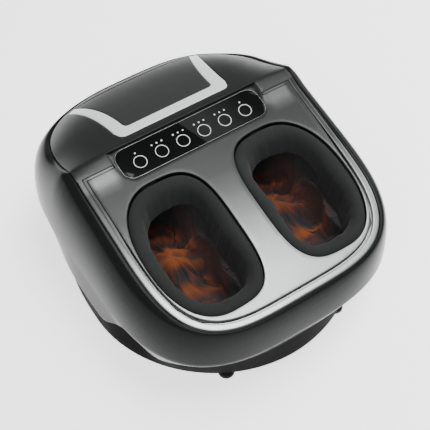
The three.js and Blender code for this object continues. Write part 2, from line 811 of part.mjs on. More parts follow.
const tubRim = (y) => {
  const sunk = tubSink * THREE.MathUtils.smoothstep(y, openingRearY - tubSink, openingRearY);
  return skinZ(footX, y) - plateThick - fit - sunk;
};
const tubHeight = (share) => (y) => THREE.MathUtils.lerp(tubFloorZ, tubRim(y), share);
const around = (point) => ringAngles(tubSteps).map(point);

[['left', -1], ['right', 1]].forEach(([name, side]) => {
  const ring = (share, inset) => around((angle) => tubPoint(side, angle, share, inset, tubHeight(share)));
  const outside = tubShares.map((share) => ring(share, 0));
  const inside = tubShares.map((share) => ring(share, tubWall)).reverse();
  add(`foot_tub_${name}`, loft([...outside, ...inside], true), 'base');
});

// Fabric sock in each tub: a padded collar in the opening, folded sides and a flat sole
const sockLow = (share) => (y) => THREE.MathUtils.lerp(soleZ, tubRim(y), share);
const plateDrop = (drop) => (y) => plateZ(y) - drop;
function foldInset(angle, share) {
  const fade = Math.sin(Math.PI * share);
  return foldDepth * fade * Math.cos(foldCount * angle + foldTwist * share);
}

function openingRing(side, inset, drop) {
  return around((angle) => {
    const point = openingPoint(side, angle, inset);
    return new THREE.Vector3(point.x, point.y, plateDrop(drop)(point.y));
  });
}

function sockRing(side, share, inset, folded) {
  return around((angle) => {
    const fold = folded ? foldInset(angle, share) : 0;
    return tubPoint(side, angle, share, inset + fold, sockLow(share));
  });
}

function levelRing(side, share, inset, z) {
  return around((angle) => tubPoint(side, angle, share, inset, () => z));
}

function sockBody(side) {
  const [outer, inner] = [sockGap, sockGap + sockThick];
  return loft([
    levelRing(side, 0, outer, soleZ),
    ...outerSockShares.map((share) => sockRing(side, share, outer, false)),
    openingRing(side, collarFit, caveDepth),
    openingRing(side, collarFit, collarSink + collarCrown),
    ...collarTopShares.map((share) => openingRing(side, collarWidth * share, collarSink)),
    openingRing(side, collarWidth - collarFit - collarCrown / 2, collarSink + collarCrown),
    openingRing(side, collarWidth, collarDepth / 2),
    openingRing(side, collarWidth, collarDepth),
    ...innerSockShares.map((share) => sockRing(side, share, inner, true)),
    levelRing(side, 0, inner, soleZ + soleThick),
  ], false);
}

const gapMiddle = (sockGap + tubWall) / 2;
const bagSeat = tubWall + bagThick / 2 + fit;
function bagBody(longHalf, tallHalf) {
  return new THREE.SphereGeometry(1, 12, 8).scale(bagThick / 2, longHalf, tallHalf);
}

[['left', -1], ['right', 1]].forEach(([name, side]) => {
  add(`foot_sock_${name}`, sockBody(side), 'fabric');
  const bagFlare = (tubRim(headsY) - tubFloorZ) * tubFlareShare;
  const bagShare = (bagZ - tubFloorZ) / bagFlare;
  const bagMiddle = THREE.MathUtils.lerp(tubFloorHalf, tubTopHalf, bagShare) - bagSeat;
  const lean = Math.atan((tubTopHalf - tubFloorHalf) / bagFlare);
  [['outer', 1], ['inner', -1]].forEach(([place, away]) => {
    const bag = add(`air_bag_${place}_${name}`, bagBody(bagLength / 2, bagTall / 2), 'bag');
    bag.position.set(side * (footX + away * bagMiddle), headsY, bagZ);
    bag.rotation.y = side * away * lean;
  });
  const roofRear = THREE.MathUtils.lerp(tubFloorRear, tubTopRear, roofShare) - sockGap;
  const roofFront = openingRearY - collarFit;
  const roofFrontZ = plateDrop(caveDepth)(roofFront);
  const roofFall = (roofFrontZ - sockLow(roofShare)(roofRear)) / (roofRear - roofFront);
  const instepZ = roofFrontZ - roofFall * (instepY - roofFront) + bagThick / 2 + fit;
  const flatBag = bagBody(instepDeep / 2, instepWide / 2).rotateY(Math.PI / 2);
  const instep = add(`air_bag_instep_${name}`, flatBag, 'bag');
  instep.position.set(side * footX, instepY, instepZ);
  instep.rotation.x = -Math.atan(roofFall);
  const lamp = add(`heat_lamp_${name}`, box(lampLength, lampThick, lampTall), 'heater');
  const lampFlare = (tubRim((tubFloorFront + tubTopFront) / 2) - tubFloorZ) * tubFlareShare;
  const lampShare = (lampZ - tubFloorZ) / lampFlare;
  const lampY = THREE.MathUtils.lerp(tubFloorFront, tubTopFront, lampShare) + gapMiddle;
  lamp.position.set(side * footX, lampY, lampZ);
  lamp.rotation.x = Math.atan((tubFloorFront - tubTopFront) / lampFlare);
});

// Air system and electrics behind the tubs
const pumpBody = solidOf(cylinder(pumpRadius, -pumpLength / 2, pumpLength / 2, 24).rotateY(Math.PI / 2));
const pumpFoot = solidOf(box(pumpLength / 2, pumpRadius, pumpRadius), moved(0, 0, -pumpRadius / 2));
const pumpNozzle = solidOf(cylinder(nozzleRadius, 0, pumpLength / 2 + nozzleLong, 12).rotateY(-Math.PI / 2));
const pumpZ = trayFloor + pumpRadius;
const pump = geometryOf(pumpBody.add(pumpFoot).add(pumpNozzle));
add('air_pump', pump, 'steel').position.set(pumpX, pumpY, pumpZ);

const valveZ = trayFloor + valveTall / 2;
let valve = solidOf(box(valveWidth, valveDeep, valveTall));
const nozzleX = valveWidth / 4;
[-nozzleX, nozzleX].forEach((x) => {
  valve = valve.add(solidOf(cylinder(nozzleRadius, 0, valveTall / 2 + nozzleLong, 12), moved(x, 0, 0)));
});
valve = valve.add(solidOf(cylinder(nozzleRadius, 0, valveWidth / 2 + nozzleLong, 12).rotateY(Math.PI / 2)));
add('valve_block', geometryOf(valve), 'nylon').position.set(-pumpX, pumpY, valveZ);

function hose(points) {
  const path = new THREE.CatmullRomCurve3(points.map(([x, y, z]) => new THREE.Vector3(x, y, z)));
  const around = ringAngles(6).map((a) => new THREE.Vector2(Math.cos(a), Math.sin(a)));
  const section = new THREE.Shape(around.map((point) => point.multiplyScalar(hoseRadius)));
  return new THREE.ExtrudeGeometry(section, { steps: 14, extrudePath: path, bevelEnabled: false });
}
const supplyStart = pumpX - pumpLength / 2 - nozzleLong - fit;
const supplyEnd = -pumpX + valveWidth / 2 + nozzleLong + fit;
const supplyLead = 3 * hoseRadius;
add('hose_supply', hose([
  [supplyStart, pumpY, pumpZ],
  [supplyStart - supplyLead, pumpY, pumpZ],
  [supplyEnd + supplyLead, pumpY, valveZ],
  [supplyEnd, pumpY, valveZ],
]), 'rubber');
const nozzleTop = trayFloor + valveTall + nozzleLong + fit;
const hoseShare = (nozzleTop + hoseRise - tubFloorZ) / (tubRim(tubTopRear) - tubFloorZ);
const hoseEndY = THREE.MathUtils.lerp(tubFloorRear, tubTopRear, hoseShare) + fit;
[['left', -1], ['right', 1]].forEach(([name, side]) => {
  const x = -pumpX + side * nozzleX;
  const endX = side * (footX - hoseInset);
  add(`hose_${name}`, hose([
    [x, pumpY, nozzleTop],
    [x, pumpY, nozzleTop + supplyLead],
    [(x + endX) / 2, pumpY + supplyLead * side, nozzleTop + hoseRise / 2],
    [endX, pumpY - supplyLead, nozzleTop + hoseRise],
    [endX, hoseEndY, nozzleTop + hoseRise],
  ]), 'rubber');
});

let mainBoard = solidOf(box(mainBoardWide, mainBoardDeep, boardThick));
const [legX, legY] = [mainBoardWide / 2 - postRadius, mainBoardDeep / 2 - postRadius];
corners.forEach(([sideX, sideY]) => {
  const leg = cylinder(postRadius / 2, -mainBoardLift, 0, 12);
  mainBoard = mainBoard.add(solidOf(leg, moved(sideX * legX, sideY * legY, 0)));
});
[-1, 0, 1].forEach((place) => {
  const chip = box(chipWide, chipDeep, mainBoardLift);
  mainBoard = mainBoard.add(solidOf(chip, moved(place * 2 * chipWide, 0, mainBoardLift / 2)));
});
add('main_board', geometryOf(mainBoard), 'board').position.set(0, mainBoardY, trayFloor + mainBoardLift);

// Power inlet: a socket let into the back of the shell
let inlet = solidOf(box(inletWidth, inletDeep, inletTall), moved(0, inletFaceY - inletDeep / 2, inletZ));
const socket = box(inletWidth - 2 * inletWall, 2 * socketDeep, inletTall - 2 * inletWall);
inlet = inlet.subtract(solidOf(socket, moved(0, inletFaceY, inletZ)));
const pinY = inletFaceY - socketDeep / 2 - fit;
[-pinX, pinX].forEach((x) => {
  inlet = inlet.add(solidOf(box(pinThick, socketDeep, pinTall), moved(x, pinY, inletZ)));
});
add('power_inlet', geometryOf(inlet), 'base');

export default massager;
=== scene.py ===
# %% [markdown]
# A foot massager with two padded wells, dressed for its picture.
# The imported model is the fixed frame: every skin made here lies where the model's own node lies,
# in metres, with its place in its mesh. Left and right are the user's, the back is +Y, up is +Z.

# %% The frame
import itertools
import json
import math

import bmesh
import bpy
import numpy as np
from mathutils import Matrix, Vector
from mathutils.geometry import delaunay_2d_cdt


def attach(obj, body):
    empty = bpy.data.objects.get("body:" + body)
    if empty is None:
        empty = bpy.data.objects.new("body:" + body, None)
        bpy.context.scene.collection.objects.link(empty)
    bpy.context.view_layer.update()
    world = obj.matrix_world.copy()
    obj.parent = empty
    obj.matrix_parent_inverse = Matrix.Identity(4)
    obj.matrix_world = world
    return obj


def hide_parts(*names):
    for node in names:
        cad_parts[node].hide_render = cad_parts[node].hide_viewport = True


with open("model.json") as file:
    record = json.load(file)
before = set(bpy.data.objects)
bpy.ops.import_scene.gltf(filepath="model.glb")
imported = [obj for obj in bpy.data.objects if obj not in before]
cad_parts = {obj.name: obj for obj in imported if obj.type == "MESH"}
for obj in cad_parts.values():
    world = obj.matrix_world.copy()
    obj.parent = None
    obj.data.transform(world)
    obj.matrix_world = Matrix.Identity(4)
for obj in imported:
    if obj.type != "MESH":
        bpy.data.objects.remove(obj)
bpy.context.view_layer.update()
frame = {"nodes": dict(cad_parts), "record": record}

ROOT = "chassis"
MM = 0.001

# %% [markdown]
# The camera stands to the left of the front and looks down steeply. Its place was worked out from
# the row of keys, so it is kept as a direction, a distance and the pixel that the row's middle falls on.

# %% Camera
PHOTO_SIZE = 430
FOCAL_PIXELS = 1000
KEYS = Vector((0, 39.5 * MM, 210 * MM))
KEYS_PIXEL = (193.8, 135.4)
CAMERA_LEFT = math.radians(34.2)
CAMERA_UP = math.radians(53.5)
CAMERA_ROLL = math.radians(-0.8)
CAMERA_DISTANCE = 1286.4 * MM
SENSOR = 36


def place_camera():
    left, up, roll = CAMERA_LEFT, CAMERA_UP, CAMERA_ROLL
    right = Vector((math.cos(left), -math.sin(left), 0))
    look = Vector((math.sin(left) * math.cos(up), math.cos(left) * math.cos(up), -math.sin(up)))
    down = look.cross(right)
    turned_right = math.cos(roll) * right + math.sin(roll) * down
    turned_down = math.cos(roll) * down - math.sin(roll) * right
    off = [(pixel - PHOTO_SIZE / 2) * CAMERA_DISTANCE / FOCAL_PIXELS for pixel in KEYS_PIXEL]
    place = KEYS - (turned_right * off[0] + turned_down * off[1] + look * CAMERA_DISTANCE)
    data = bpy.data.cameras.new("photo_camera")
    data.sensor_width = SENSOR
    data.lens = SENSOR * FOCAL_PIXELS / PHOTO_SIZE
    data.clip_start = 0.01
    camera = bpy.data.objects.new("photo_camera", data)
    bpy.context.collection.objects.link(camera)
    axes = Matrix((turned_right, -turned_down, -look)).transposed()
    camera.matrix_world = Matrix.Translation(place) @ axes.to_4x4()
    bpy.context.scene.camera = camera
    return place


print("camera at", [round(v, 3) for v in place_camera()])

# %% [markdown]
# Shader maths is easier to read as sums and products than as a list of nodes. A small class wraps a
# socket, and an expression on two wrapped sockets adds the Math node that it needs. Every other node
# comes from one method, which takes the node's type, its settings and its inputs.


# %% Shader helper
class Value:
    def __init__(self, graph, socket):
        self.graph = graph
        self.socket = socket

    def math(self, operation, *others):
        return self.graph.number(operation, self, *others)

    def __add__(self, other):
        return self.math("ADD", other)

    def __sub__(self, other):
        return self.math("SUBTRACT", other)

    def __mul__(self, other):
        return self.math("MULTIPLY", other)

    __radd__, __rmul__ = __add__, __mul__


class Graph:
    def __init__(self, name):
        self.material = bpy.data.materials.new(name)
        self.material.use_nodes = True
        self.tree = self.material.node_tree
        self.tree.nodes.clear()
        self.shader = self.tree.nodes.new("ShaderNodeBsdfPrincipled")
        output = self.tree.nodes.new("ShaderNodeOutputMaterial")
        self.tree.links.new(self.shader.outputs[0], output.inputs[0])

    def node(self, kind, settings=None, inputs=None, output=0):
        node = self.tree.nodes.new(kind)
        for key, setting in (settings or {}).items():
            if key == "stops":
                ramp = node.color_ramp.elements
                while len(ramp) < len(setting):
                    ramp.new(0.5)
                for element, (place, colour) in zip(ramp, setting):
                    element.position = place
                    element.color = colour
            else:
                setattr(node, key, setting)
        for key, value in (inputs or {}).items():
            self.put(node.inputs[key], value)
        return Value(self, node.outputs[output])

    def put(self, socket, value):
        if isinstance(value, Value):
            self.tree.links.new(value.socket, socket)
        else:
            socket.default_value = value

    def number(self, operation, *values):
        return self.node("ShaderNodeMath", {"operation": operation}, dict(enumerate(values)))

    def place(self):
        return self.node("ShaderNodeTexCoord", output="Object")

    def axis(self, vector, which):
        return self.node("ShaderNodeSeparateXYZ", None, {0: vector}, which)

    def scaled(self, tone, share):
        return self.node("ShaderNodeVectorMath", {"operation": "SCALE"}, {0: tone, 3: share})

    def noise(self, vector, scale, detail=2.0, roughness=0.5):
        inputs = {"Vector": vector, "Scale": scale, "Detail": detail, "Roughness": roughness}
        return self.node("ShaderNodeTexNoise", None, inputs)

    def mix(self, share, first, second):
        return self.node("ShaderNodeMix", {"data_type": "RGBA"}, {0: share, 6: first, 7: second}, 2)

    def span(self, value, low, high, to_low=0.0, to_high=1.0):
        inputs = {0: value, 1: low, 2: high, 3: to_low, 4: to_high}
        return self.node("ShaderNodeMapRange", {"clamp": True}, inputs)

    def bump(self, height, distance, strength=1.0):
        inputs = {"Height": height, "Distance": distance, "Strength": strength}
        return self.node("ShaderNodeBump", None, inputs)

    def finish(self, **sockets):
        for name, value in sockets.items():
            self.put(self.shader.inputs[name.replace("_", " ")], value)
        return self.material


def colour(red, green, blue):
    return (red, green, blue, 1.0)


# %% [markdown]
# The outer skin is one shape cut into pieces: plate, rim, hood and side shell all lie on it. So its
# rule comes first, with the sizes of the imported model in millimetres. An outline in plan is a rounded
# square, written as a distance from the middle for each angle. The height rises along a slope to the
# hood and then falls away in an arc.

# %% Outlines and heights
MIDDLE_Y = -15
WALL = 3
FIT = 0.4
SEAM = {"half": 168.6, "front": 191.5, "rear": 232, "powers": (3.8, 4.2)}
BULGE = {"half": 195.6, "front": 200, "rear": 241, "powers": (3.1, 4.4)}
HEM = {"half": 198, "front": 183, "rear": 223, "powers": (2.35, 2.9)}
BASE = {"half": 195, "front": 186, "rear": 212, "powers": (1.95, 2.5)}
PLATE = {"half": 153, "front": 176, "rear": 400, "powers": (4.1, 12)}
KEYS_Y, KEYS_Z = 45, 210
SLOPE = math.radians(12)
RAMP_START, RAMP_END, CREST_Y, CREST_RISE = 34, 66, 73, 4
HOOD_REACH, HOOD_FALL, HOOD_DROP, HOOD_SPREAD = 153, 36, 22.9, 213
SHOULDER_DROP, SHOULDER_START, SHOULDER_REACH, SHOULDER_Y = 18, 105, 68, (52, 130)
ORIGIN_Y = MIDDLE_Y + (BULGE["rear"] - BULGE["front"]) / 2


def smoothstep(value, low, high):
    t = np.clip((value - low) / (high - low), 0, 1)
    return t * t * (3 - 2 * t)


def lerp(first, second, share):
    return first + (second - first) * share


def rounded(angle, half, depth, power):
    across, along = np.abs(np.cos(angle)) / half, np.abs(np.sin(angle)) / depth
    return (across**power + along**power) ** (-1 / power)


def reach_of(outline, angle, inset=0.0):
    power = np.where(np.sin(angle) < 0, *outline["powers"])
    depth = np.where(np.sin(angle) < 0, outline["front"], outline["rear"])
    return rounded(angle, outline["half"], depth, power) - inset


def outline_point(outline, angle, inset=0.0):
    reach = reach_of(outline, angle, inset)
    return reach * np.cos(angle), MIDDLE_Y + reach * np.sin(angle)


def plate_z(y):
    return KEYS_Z + (y - KEYS_Y) * math.tan(SLOPE)


def skin_z(x, y):
    back = np.clip((y - CREST_Y) / HOOD_REACH, 0, None)
    spread = back * (1 + (np.abs(x) / HOOD_SPREAD) ** 3)
    hood = plate_z(CREST_Y) + CREST_RISE - HOOD_FALL * spread - HOOD_DROP * spread**4
    ramp = plate_z(y) + CREST_RISE * smoothstep(y, RAMP_START, RAMP_END)
    outward = np.clip(np.abs(x) - SHOULDER_START, 0, None) / SHOULDER_REACH
    shoulder = SHOULDER_DROP * smoothstep(y, *SHOULDER_Y) * outward**2
    return np.where(y <= CREST_Y, ramp, hood) - shoulder


def on_skin(flat, drop=0.0):
    return np.column_stack([flat, skin_z(flat[:, 0], flat[:, 1]) - drop])


def raised(rise):
    return lambda x, y: skin_z(x, y) + rise


def hand(side):
    return "right" if side > 0 else "left"


print("crest height:", round(float(skin_z(0.0, float(CREST_Y))), 1), "mm")

# %% [markdown]
# Two ways of making a mesh serve nearly every moulded piece. A loft joins rings of equal length. A
# skin plate is a sheet cut to any outline, with holes and rounded edges: its top is filled with small
# triangles by a Delaunay triangulation, so that it can follow the curved skin without facets.


# %% Mesh makers
def angles(count, turn=0.0):
    return np.arange(count) * 2 * np.pi / count + turn


def new_object(name, points, faces, smooth_under=40.0):
    mesh = bpy.data.meshes.new(name)
    mesh.from_pydata(((np.asarray(points, dtype=float) - (0, ORIGIN_Y, 0)) * MM).tolist(), [], faces)
    bm = bmesh.new()
    bm.from_mesh(mesh)
    bmesh.ops.remove_doubles(bm, verts=bm.verts, dist=1e-6)
    bmesh.ops.recalc_face_normals(bm, faces=bm.faces)
    bm.to_mesh(mesh)
    bm.free()
    mesh.shade_smooth()
    mesh.set_sharp_from_angle(angle=math.radians(smooth_under))
    piece = bpy.data.objects.new(name, mesh)
    bpy.context.collection.objects.link(piece)
    return piece


def ring_faces(ring_count, size, closed=False):
    faces = []
    for i in range(ring_count if closed else ring_count - 1):
        low, high = i * size, ((i + 1) % ring_count) * size
        for j in range(size):
            k = (j + 1) % size
            faces.append((low + j, low + k, high + k, high + j))
    return faces


def cap_faces(ring_count, size):
    return [tuple(range(size)), tuple((ring_count - 1) * size + j for j in range(size))]


def loft(name, rings, closed=False, capped=False, smooth_under=40.0):
    size = len(rings[0])
    faces = ring_faces(len(rings), size, closed)
    if capped:
        faces += cap_faces(len(rings), size)
    return new_object(name, np.concatenate(rings), faces, smooth_under)


def lathe(name, profile, place=(0, 0, 0), steps=48, smooth_under=35.0):
    profile = np.asarray(profile, dtype=float)
    turn = angles(steps)
    rings = [np.stack([r * np.cos(turn) + place[0], r * np.sin(turn) + place[1],
                       np.full(steps, z + place[2])], axis=1) for r, z in profile]
    return loft(name, rings, capped=True, smooth_under=smooth_under)


def inside(points, loop):
    x, y = points[:, 0], points[:, 1]
    crossed = np.zeros(len(points), dtype=bool)
    for (x1, y1), (x2, y2) in zip(loop, np.roll(loop, -1, axis=0)):
        if y1 != y2:
            crossed ^= ((y1 > y) != (y2 > y)) & (x < (x2 - x1) * (y - y1) / (y2 - y1) + x1)
    return crossed


def offset_loop(loop, inset):
    before, after = np.roll(loop, 1, axis=0), np.roll(loop, -1, axis=0)
    first, second = loop - before, after - loop
    first /= np.linalg.norm(first, axis=1, keepdims=True)
    second /= np.linalg.norm(second, axis=1, keepdims=True)
    normal = np.stack([-(first + second)[:, 1], (first + second)[:, 0]], axis=1)
    square = np.maximum((normal**2).sum(axis=1, keepdims=True), 0.5)
    return loop + normal * (2 * inset / square)


def turned(loop, left):
    x, y = loop[:, 0], loop[:, 1]
    area = (x * np.roll(y, -1) - np.roll(x, -1) * y).sum()
    return loop if (area > 0) == left else loop[::-1]


def resample(points, step):
    points = np.asarray(points, dtype=float)
    dense = [points[0]]
    for a, b in zip(points, np.roll(points, -1, axis=0)):
        count = max(1, int(np.ceil(np.linalg.norm(b - a) / step)))
        dense += [a + (b - a) * (i + 1) / count for i in range(count)]
    return np.array(dense[:-1])


def round_corners(points, radii, steps=8):
    points = np.asarray(points, dtype=float)
    result = []
    for i, (corner, radius) in enumerate(zip(points, radii)):
        before, after = points[i - 1], points[(i + 1) % len(points)]
        u, v = before - corner, after - corner
        u, v = u / np.linalg.norm(u), v / np.linalg.norm(v)
        half = math.acos(float(np.clip(u @ v, -1, 1))) / 2
        if radius <= 0 or math.sin(half) > 0.999:
            result.append(corner)
            continue
        cut = radius / math.tan(half)
        centre = corner + (u + v) / np.linalg.norm(u + v) * radius / math.sin(half)
        start, end = corner + u * cut - centre, corner + v * cut - centre
        for s in np.linspace(0, 1, steps + 1):
            spoke = start * (1 - s) + end * s
            result.append(centre + spoke / np.linalg.norm(spoke) * radius)
    return np.array(result)


def grown(loop, by):
    return offset_loop(turned(loop, True), -by)


EDGE_TURNS = (60, 30, 0)


def skin_plate(name, outer, holes, top, thick, edge, step, smooth_under=50):
    loops = [turned(outer, True)] + [turned(hole, False) for hole in holes]
    tops = [offset_loop(loop, edge) for loop in loops]
    low, high = tops[0].min(axis=0), tops[0].max(axis=0)
    grid = np.stack(np.meshgrid(np.arange(low[0], high[0], step), np.arange(low[1], high[1], step)), axis=-1)
    grid = grid.reshape(-1, 2)
    spaced = [offset_loop(loop, edge + 0.6 * step) for loop in loops]
    keep = inside(grid, spaced[0])
    for hole in spaced[1:]:
        keep &= ~inside(grid, hole)
    flat = np.concatenate(tops + [grid[keep]])
    edges, start = [], 0
    for loop in tops:
        edges += [(start + i, start + (i + 1) % len(loop)) for i in range(len(loop))]
        start += len(loop)
    found = delaunay_2d_cdt([Vector(p) for p in flat], edges, [], 0, 1e-7)
    flat = np.array([tuple(v) for v in found[0]])
    origin = {old: new for new, olds in enumerate(found[3]) for old in olds}
    triangles = np.array(found[2])
    middle = flat[triangles].mean(axis=1)
    keep = inside(middle, tops[0])
    for hole in tops[1:]:
        keep &= ~inside(middle, hole)
    triangles = triangles[keep]
    height = top(flat[:, 0], flat[:, 1])
    points = [np.column_stack([flat, height]), np.column_stack([flat, height - thick])]
    count = len(flat)
    faces = triangles.tolist() + (triangles[:, ::-1] + count).tolist()
    total, start = 2 * count, 0
    for loop in loops:
        size = len(loop)
        crown_top = [origin[start + i] for i in range(size)]
        start += size
        rows = [crown_top]
        for turn in EDGE_TURNS:
            inset, drop = (edge * (1 - part(math.radians(turn))) for part in (math.cos, math.sin))
            ring = offset_loop(loop, inset) if inset else loop
            points.append(np.column_stack([ring, top(ring[:, 0], ring[:, 1]) - drop]))
            rows.append(list(range(total, total + size)))
            total += size
        points.append(np.column_stack([loop, top(loop[:, 0], loop[:, 1]) - thick]))
        rows.append(list(range(total, total + size)))
        total += size
        rows.append([i + count for i in crown_top])
        for upper, lower in zip(rows[:-1], rows[1:]):
            for i in range(size):
                k = (i + 1) % size
                faces.append((upper[i], lower[i], lower[k], upper[k]))
    return new_object(name, np.concatenate(points), faces, smooth_under)


def dress(piece, material, body=ROOT, nodes=()):
    piece.data.materials.clear()
    piece.data.materials.append(material)
    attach(piece, body)
    if nodes:
        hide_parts(*nodes)
    return piece


# %% [markdown]
# Moulded plastic is never a single flat colour. Gloss parts have a faint orange peel, satin paint has
# metal flakes, matt parts have a fine spark texture. Each finish below is one function with its own
# sizes, and reads Object coordinates in metres, so a scale of 500 gives marks of about 2 mm.


# %% Plastic, paint and metal
def moulded(name, tone, roughness, grain=1500.0, depth=0.00004, gloss=0.0, drift=0.08, shine=0.5):
    g = Graph(name)
    place = g.place()
    peel = g.noise(place, grain, 3.0)
    cloud = g.noise(place, 24.0, 2.0)
    base = g.scaled(tone, g.span(cloud, 0.3, 0.7, 1 - drift, 1 + drift))
    rough = roughness * (0.85 + 0.3 * cloud)
    material = g.finish(Base_Color=base, Roughness=rough, Normal=g.bump(peel, depth))
    for socket, value in (("Specular IOR Level", shine), ("Coat Weight", gloss), ("Coat Roughness", 0.04)):
        g.shader.inputs[socket].default_value = value
    return material


# The plate's paint carries a painted reflection: darker toward the hood, lighter toward the front. Each stop
# is a place along the plate in millimetres and a share of the paint's brightness. A painted highlight
# lies on each side of the panel, given in metres.
PLATE_REFLECTION_FADES = [(65, 0.045), (20, 0.065), (-15, 0.075), (-45, 0.14), (-65, 0.22), (-85, 0.31), (-125, 0.62),
               (-165, 0.82)]
RIM_REFLECTION_FADES = [(65, 0.03), (40, 0.06), (20, 0.08), (0, 0.11), (-40, 0.13), (-60, 0.24), (-80, 0.36),
             (-100, 0.46), (-130, 0.75), (-180, 0.8)]
HIGHLIGHT_PATCH_ACROSS, HIGHLIGHT_PATCH_ALONG = (0.112, 0.122, 0.146, 0.152), (0.022, 0.042, 0.05, 0.06)


def band(g, value, low, full, fading, gone):
    return g.span(value, low, full) * g.span(value, fading, gone, 1.0, 0.0)


def flaked(name, tone, roughness, metallic, flakes=2600.0, spread=0.12, reflection_fades=None, highlight_patch=0.0):
    g = Graph(name)
    place = g.place()
    flake = g.node("ShaderNodeTexVoronoi", None, {"Vector": place, "Scale": flakes}, 1)
    grey = g.node("ShaderNodeRGBToBW", None, {0: flake})
    base = g.scaled(tone, g.span(grey, 0.0, 1.0, 1 - spread, 1 + spread))
    # Painted reflection: the tone darkens along the plate toward the hood, and a painted highlight is added
    # on each side of the panel.
    if reflection_fades:
        along = g.axis(place, 1)
        first, last = reflection_fades[0][0], reflection_fades[-1][0]
        stops = [((y - first) / (last - first), colour(share, share, share)) for y, share in reflection_fades]
        reach = g.span(along, (first - ORIGIN_Y) * MM, (last - ORIGIN_Y) * MM)
        shade = g.node("ShaderNodeValToRGB", {"stops": stops}, {0: reach})
        base = g.node("ShaderNodeVectorMath", {"operation": "MULTIPLY"}, {0: base, 1: shade})
        if highlight_patch:
            sides = band(g, g.number("ABSOLUTE", g.axis(place, 0)), *HIGHLIGHT_PATCH_ACROSS)
            ends = band(g, along + ORIGIN_Y * MM, *HIGHLIGHT_PATCH_ALONG)
            base = g.scaled(base, 1 + highlight_patch * sides * ends)
    rough = roughness * (0.9 + 0.2 * g.noise(place, 60.0))
    peel = g.noise(place, 900.0)
    return g.finish(Base_Color=base, Roughness=rough, Metallic=metallic, Normal=g.bump(peel, 0.00001))


SHELL_GLOSS = moulded("shell_gloss", (0.0075, 0.0085, 0.0082), 0.18, 420.0, 0.000004, 0.0, 0.03, 0.05)
BASE_BLACK = moulded("base_black", (0.0025, 0.0025, 0.0025), 0.6, 2200.0, 0.00012, 0.0, 0.08, 0.06)
TUB_BLACK = moulded("tub_black", (0.018, 0.018, 0.018), 0.6, 1600.0, 0.0001)
RUBBER = moulded("rubber_black", (0.010, 0.010, 0.010), 0.82, 2600.0, 0.00015)
NYLON = moulded("white_nylon", (0.62, 0.60, 0.54), 0.42, 1200.0, 0.00006, 0.0, 0.04)
HEAD_ORANGE = moulded("head_orange", (0.42, 0.13, 0.04), 0.4, 900.0, 0.00004)
HEATER_RED = moulded("heater_red", (0.40, 0.035, 0.02), 0.25, 700.0, 0.00003, 0.3)
BOARD_GREEN = moulded("circuit_board", (0.018, 0.10, 0.042), 0.4, 1400.0, 0.00008, 0.2)


# The panel carries a painted reflection: its tone steps from dark to grey along a slanted line through this
# point.
REFLECTION_EDGE_X, REFLECTION_EDGE_Y, REFLECTION_EDGE_ACROSS, REFLECTION_EDGE_ALONG = -5.9, 63.8, 0.922, 0.39


def panel_painted_reflection():
    g = Graph("panel_gloss")
    place = g.place()
    along = g.axis(place, 1) + (ORIGIN_Y - REFLECTION_EDGE_Y) * MM
    slant = g.axis(place, 0) * REFLECTION_EDGE_ACROSS + along * REFLECTION_EDGE_ALONG - REFLECTION_EDGE_X * MM * REFLECTION_EDGE_ACROSS
    tone = g.span(slant, 0.0, 0.0012, 0.0025, 0.016) * g.span(slant, 0.03, 0.085, 1.0, 0.2)
    base = g.node("ShaderNodeCombineXYZ", None, {0: tone, 1: tone * 1.06, 2: tone * 1.05})
    g.shader.inputs["Specular IOR Level"].default_value = 0.1
    return g.finish(Base_Color=base, Roughness=0.08 + 0.04 * g.noise(place, 300.0))


PANEL_GLOSS = panel_painted_reflection()
PRINT_WHITE = moulded("panel_print", (0.62, 0.64, 0.64), 0.4, 2000.0, 0.00001)
HOOD_SATIN = flaked("hood_satin", (0.016, 0.017, 0.0167), 0.42, 0.55)
INLAY_SATIN = flaked("inlay_satin", (0.024, 0.0255, 0.025), 0.5, 0.35)
# The plate and rim finishes carry a painted reflection, dark at the hood and light at the front; the plate
# also has a painted highlight beside the panel.
PLATE_PAINT_AND_REFLECTION = flaked("plate_metallic", (0.31, 0.33, 0.325), 0.36, 0.72, reflection_fades=PLATE_REFLECTION_FADES, highlight_patch=3.0)
RIM_PAINT_AND_REFLECTION = flaked("rim_metallic", (0.33, 0.35, 0.345), 0.30, 0.72, reflection_fades=RIM_REFLECTION_FADES)
SILVER = flaked("silver_trim", (0.86, 0.9, 0.89), 0.42, 0.4, spread=0.04)
BEZEL = flaked("bezel_metal", (0.2, 0.21, 0.208), 0.3, 0.8, spread=0.04)
STEEL = flaked("steel", (0.52, 0.54, 0.56), 0.28, 1.0, 900.0, 0.04)
print("finishes:", len([m for m in bpy.data.materials if m.use_nodes]))

# %% [markdown]
# The side shell is a ring of gloss plastic. It leaves the seam at the top, bulges out, and turns in to
# the hem, which rises over a hand grip on each side. It is a loft of closed rings: out over the bulge,
# round the lip of the hem, up the inside wall and round the lip of the seam.

# %% Side shell
BULGE_Z, HEM_Z, HEM_CURVE = 95, 48, 1.05
GRIP_RISE, GRIP_Y, GRIP_HALF, GRIP_DEPTH = 33, -83, 52, 31
SHELL_STEPS = 288


def grip_share(y):
    away = np.clip(np.abs(y - GRIP_Y) / GRIP_HALF, 0, 1)
    return np.cos(away * np.pi / 2) ** 2


def side_ring(angle, share, inset=0.0):
    seam_z = skin_z(*outline_point(SEAM, angle))
    lowest = HEM_Z + GRIP_RISE * grip_share(outline_point(HEM, angle)[1])
    seam, bulge, hem = (reach_of(o, angle, inset) for o in (SEAM, BULGE, HEM))
    if share < 1:
        turn = share * math.pi / 2
        reach, z = lerp(seam, bulge, math.sin(turn)), lerp(seam_z, BULGE_Z, 1 - math.cos(turn))
    else:
        reach, z = lerp(bulge, hem, (share - 1) ** HEM_CURVE), lerp(BULGE_Z, lowest, share - 1)
    return np.column_stack([reach * np.cos(angle), MIDDLE_Y + reach * np.sin(angle), z])


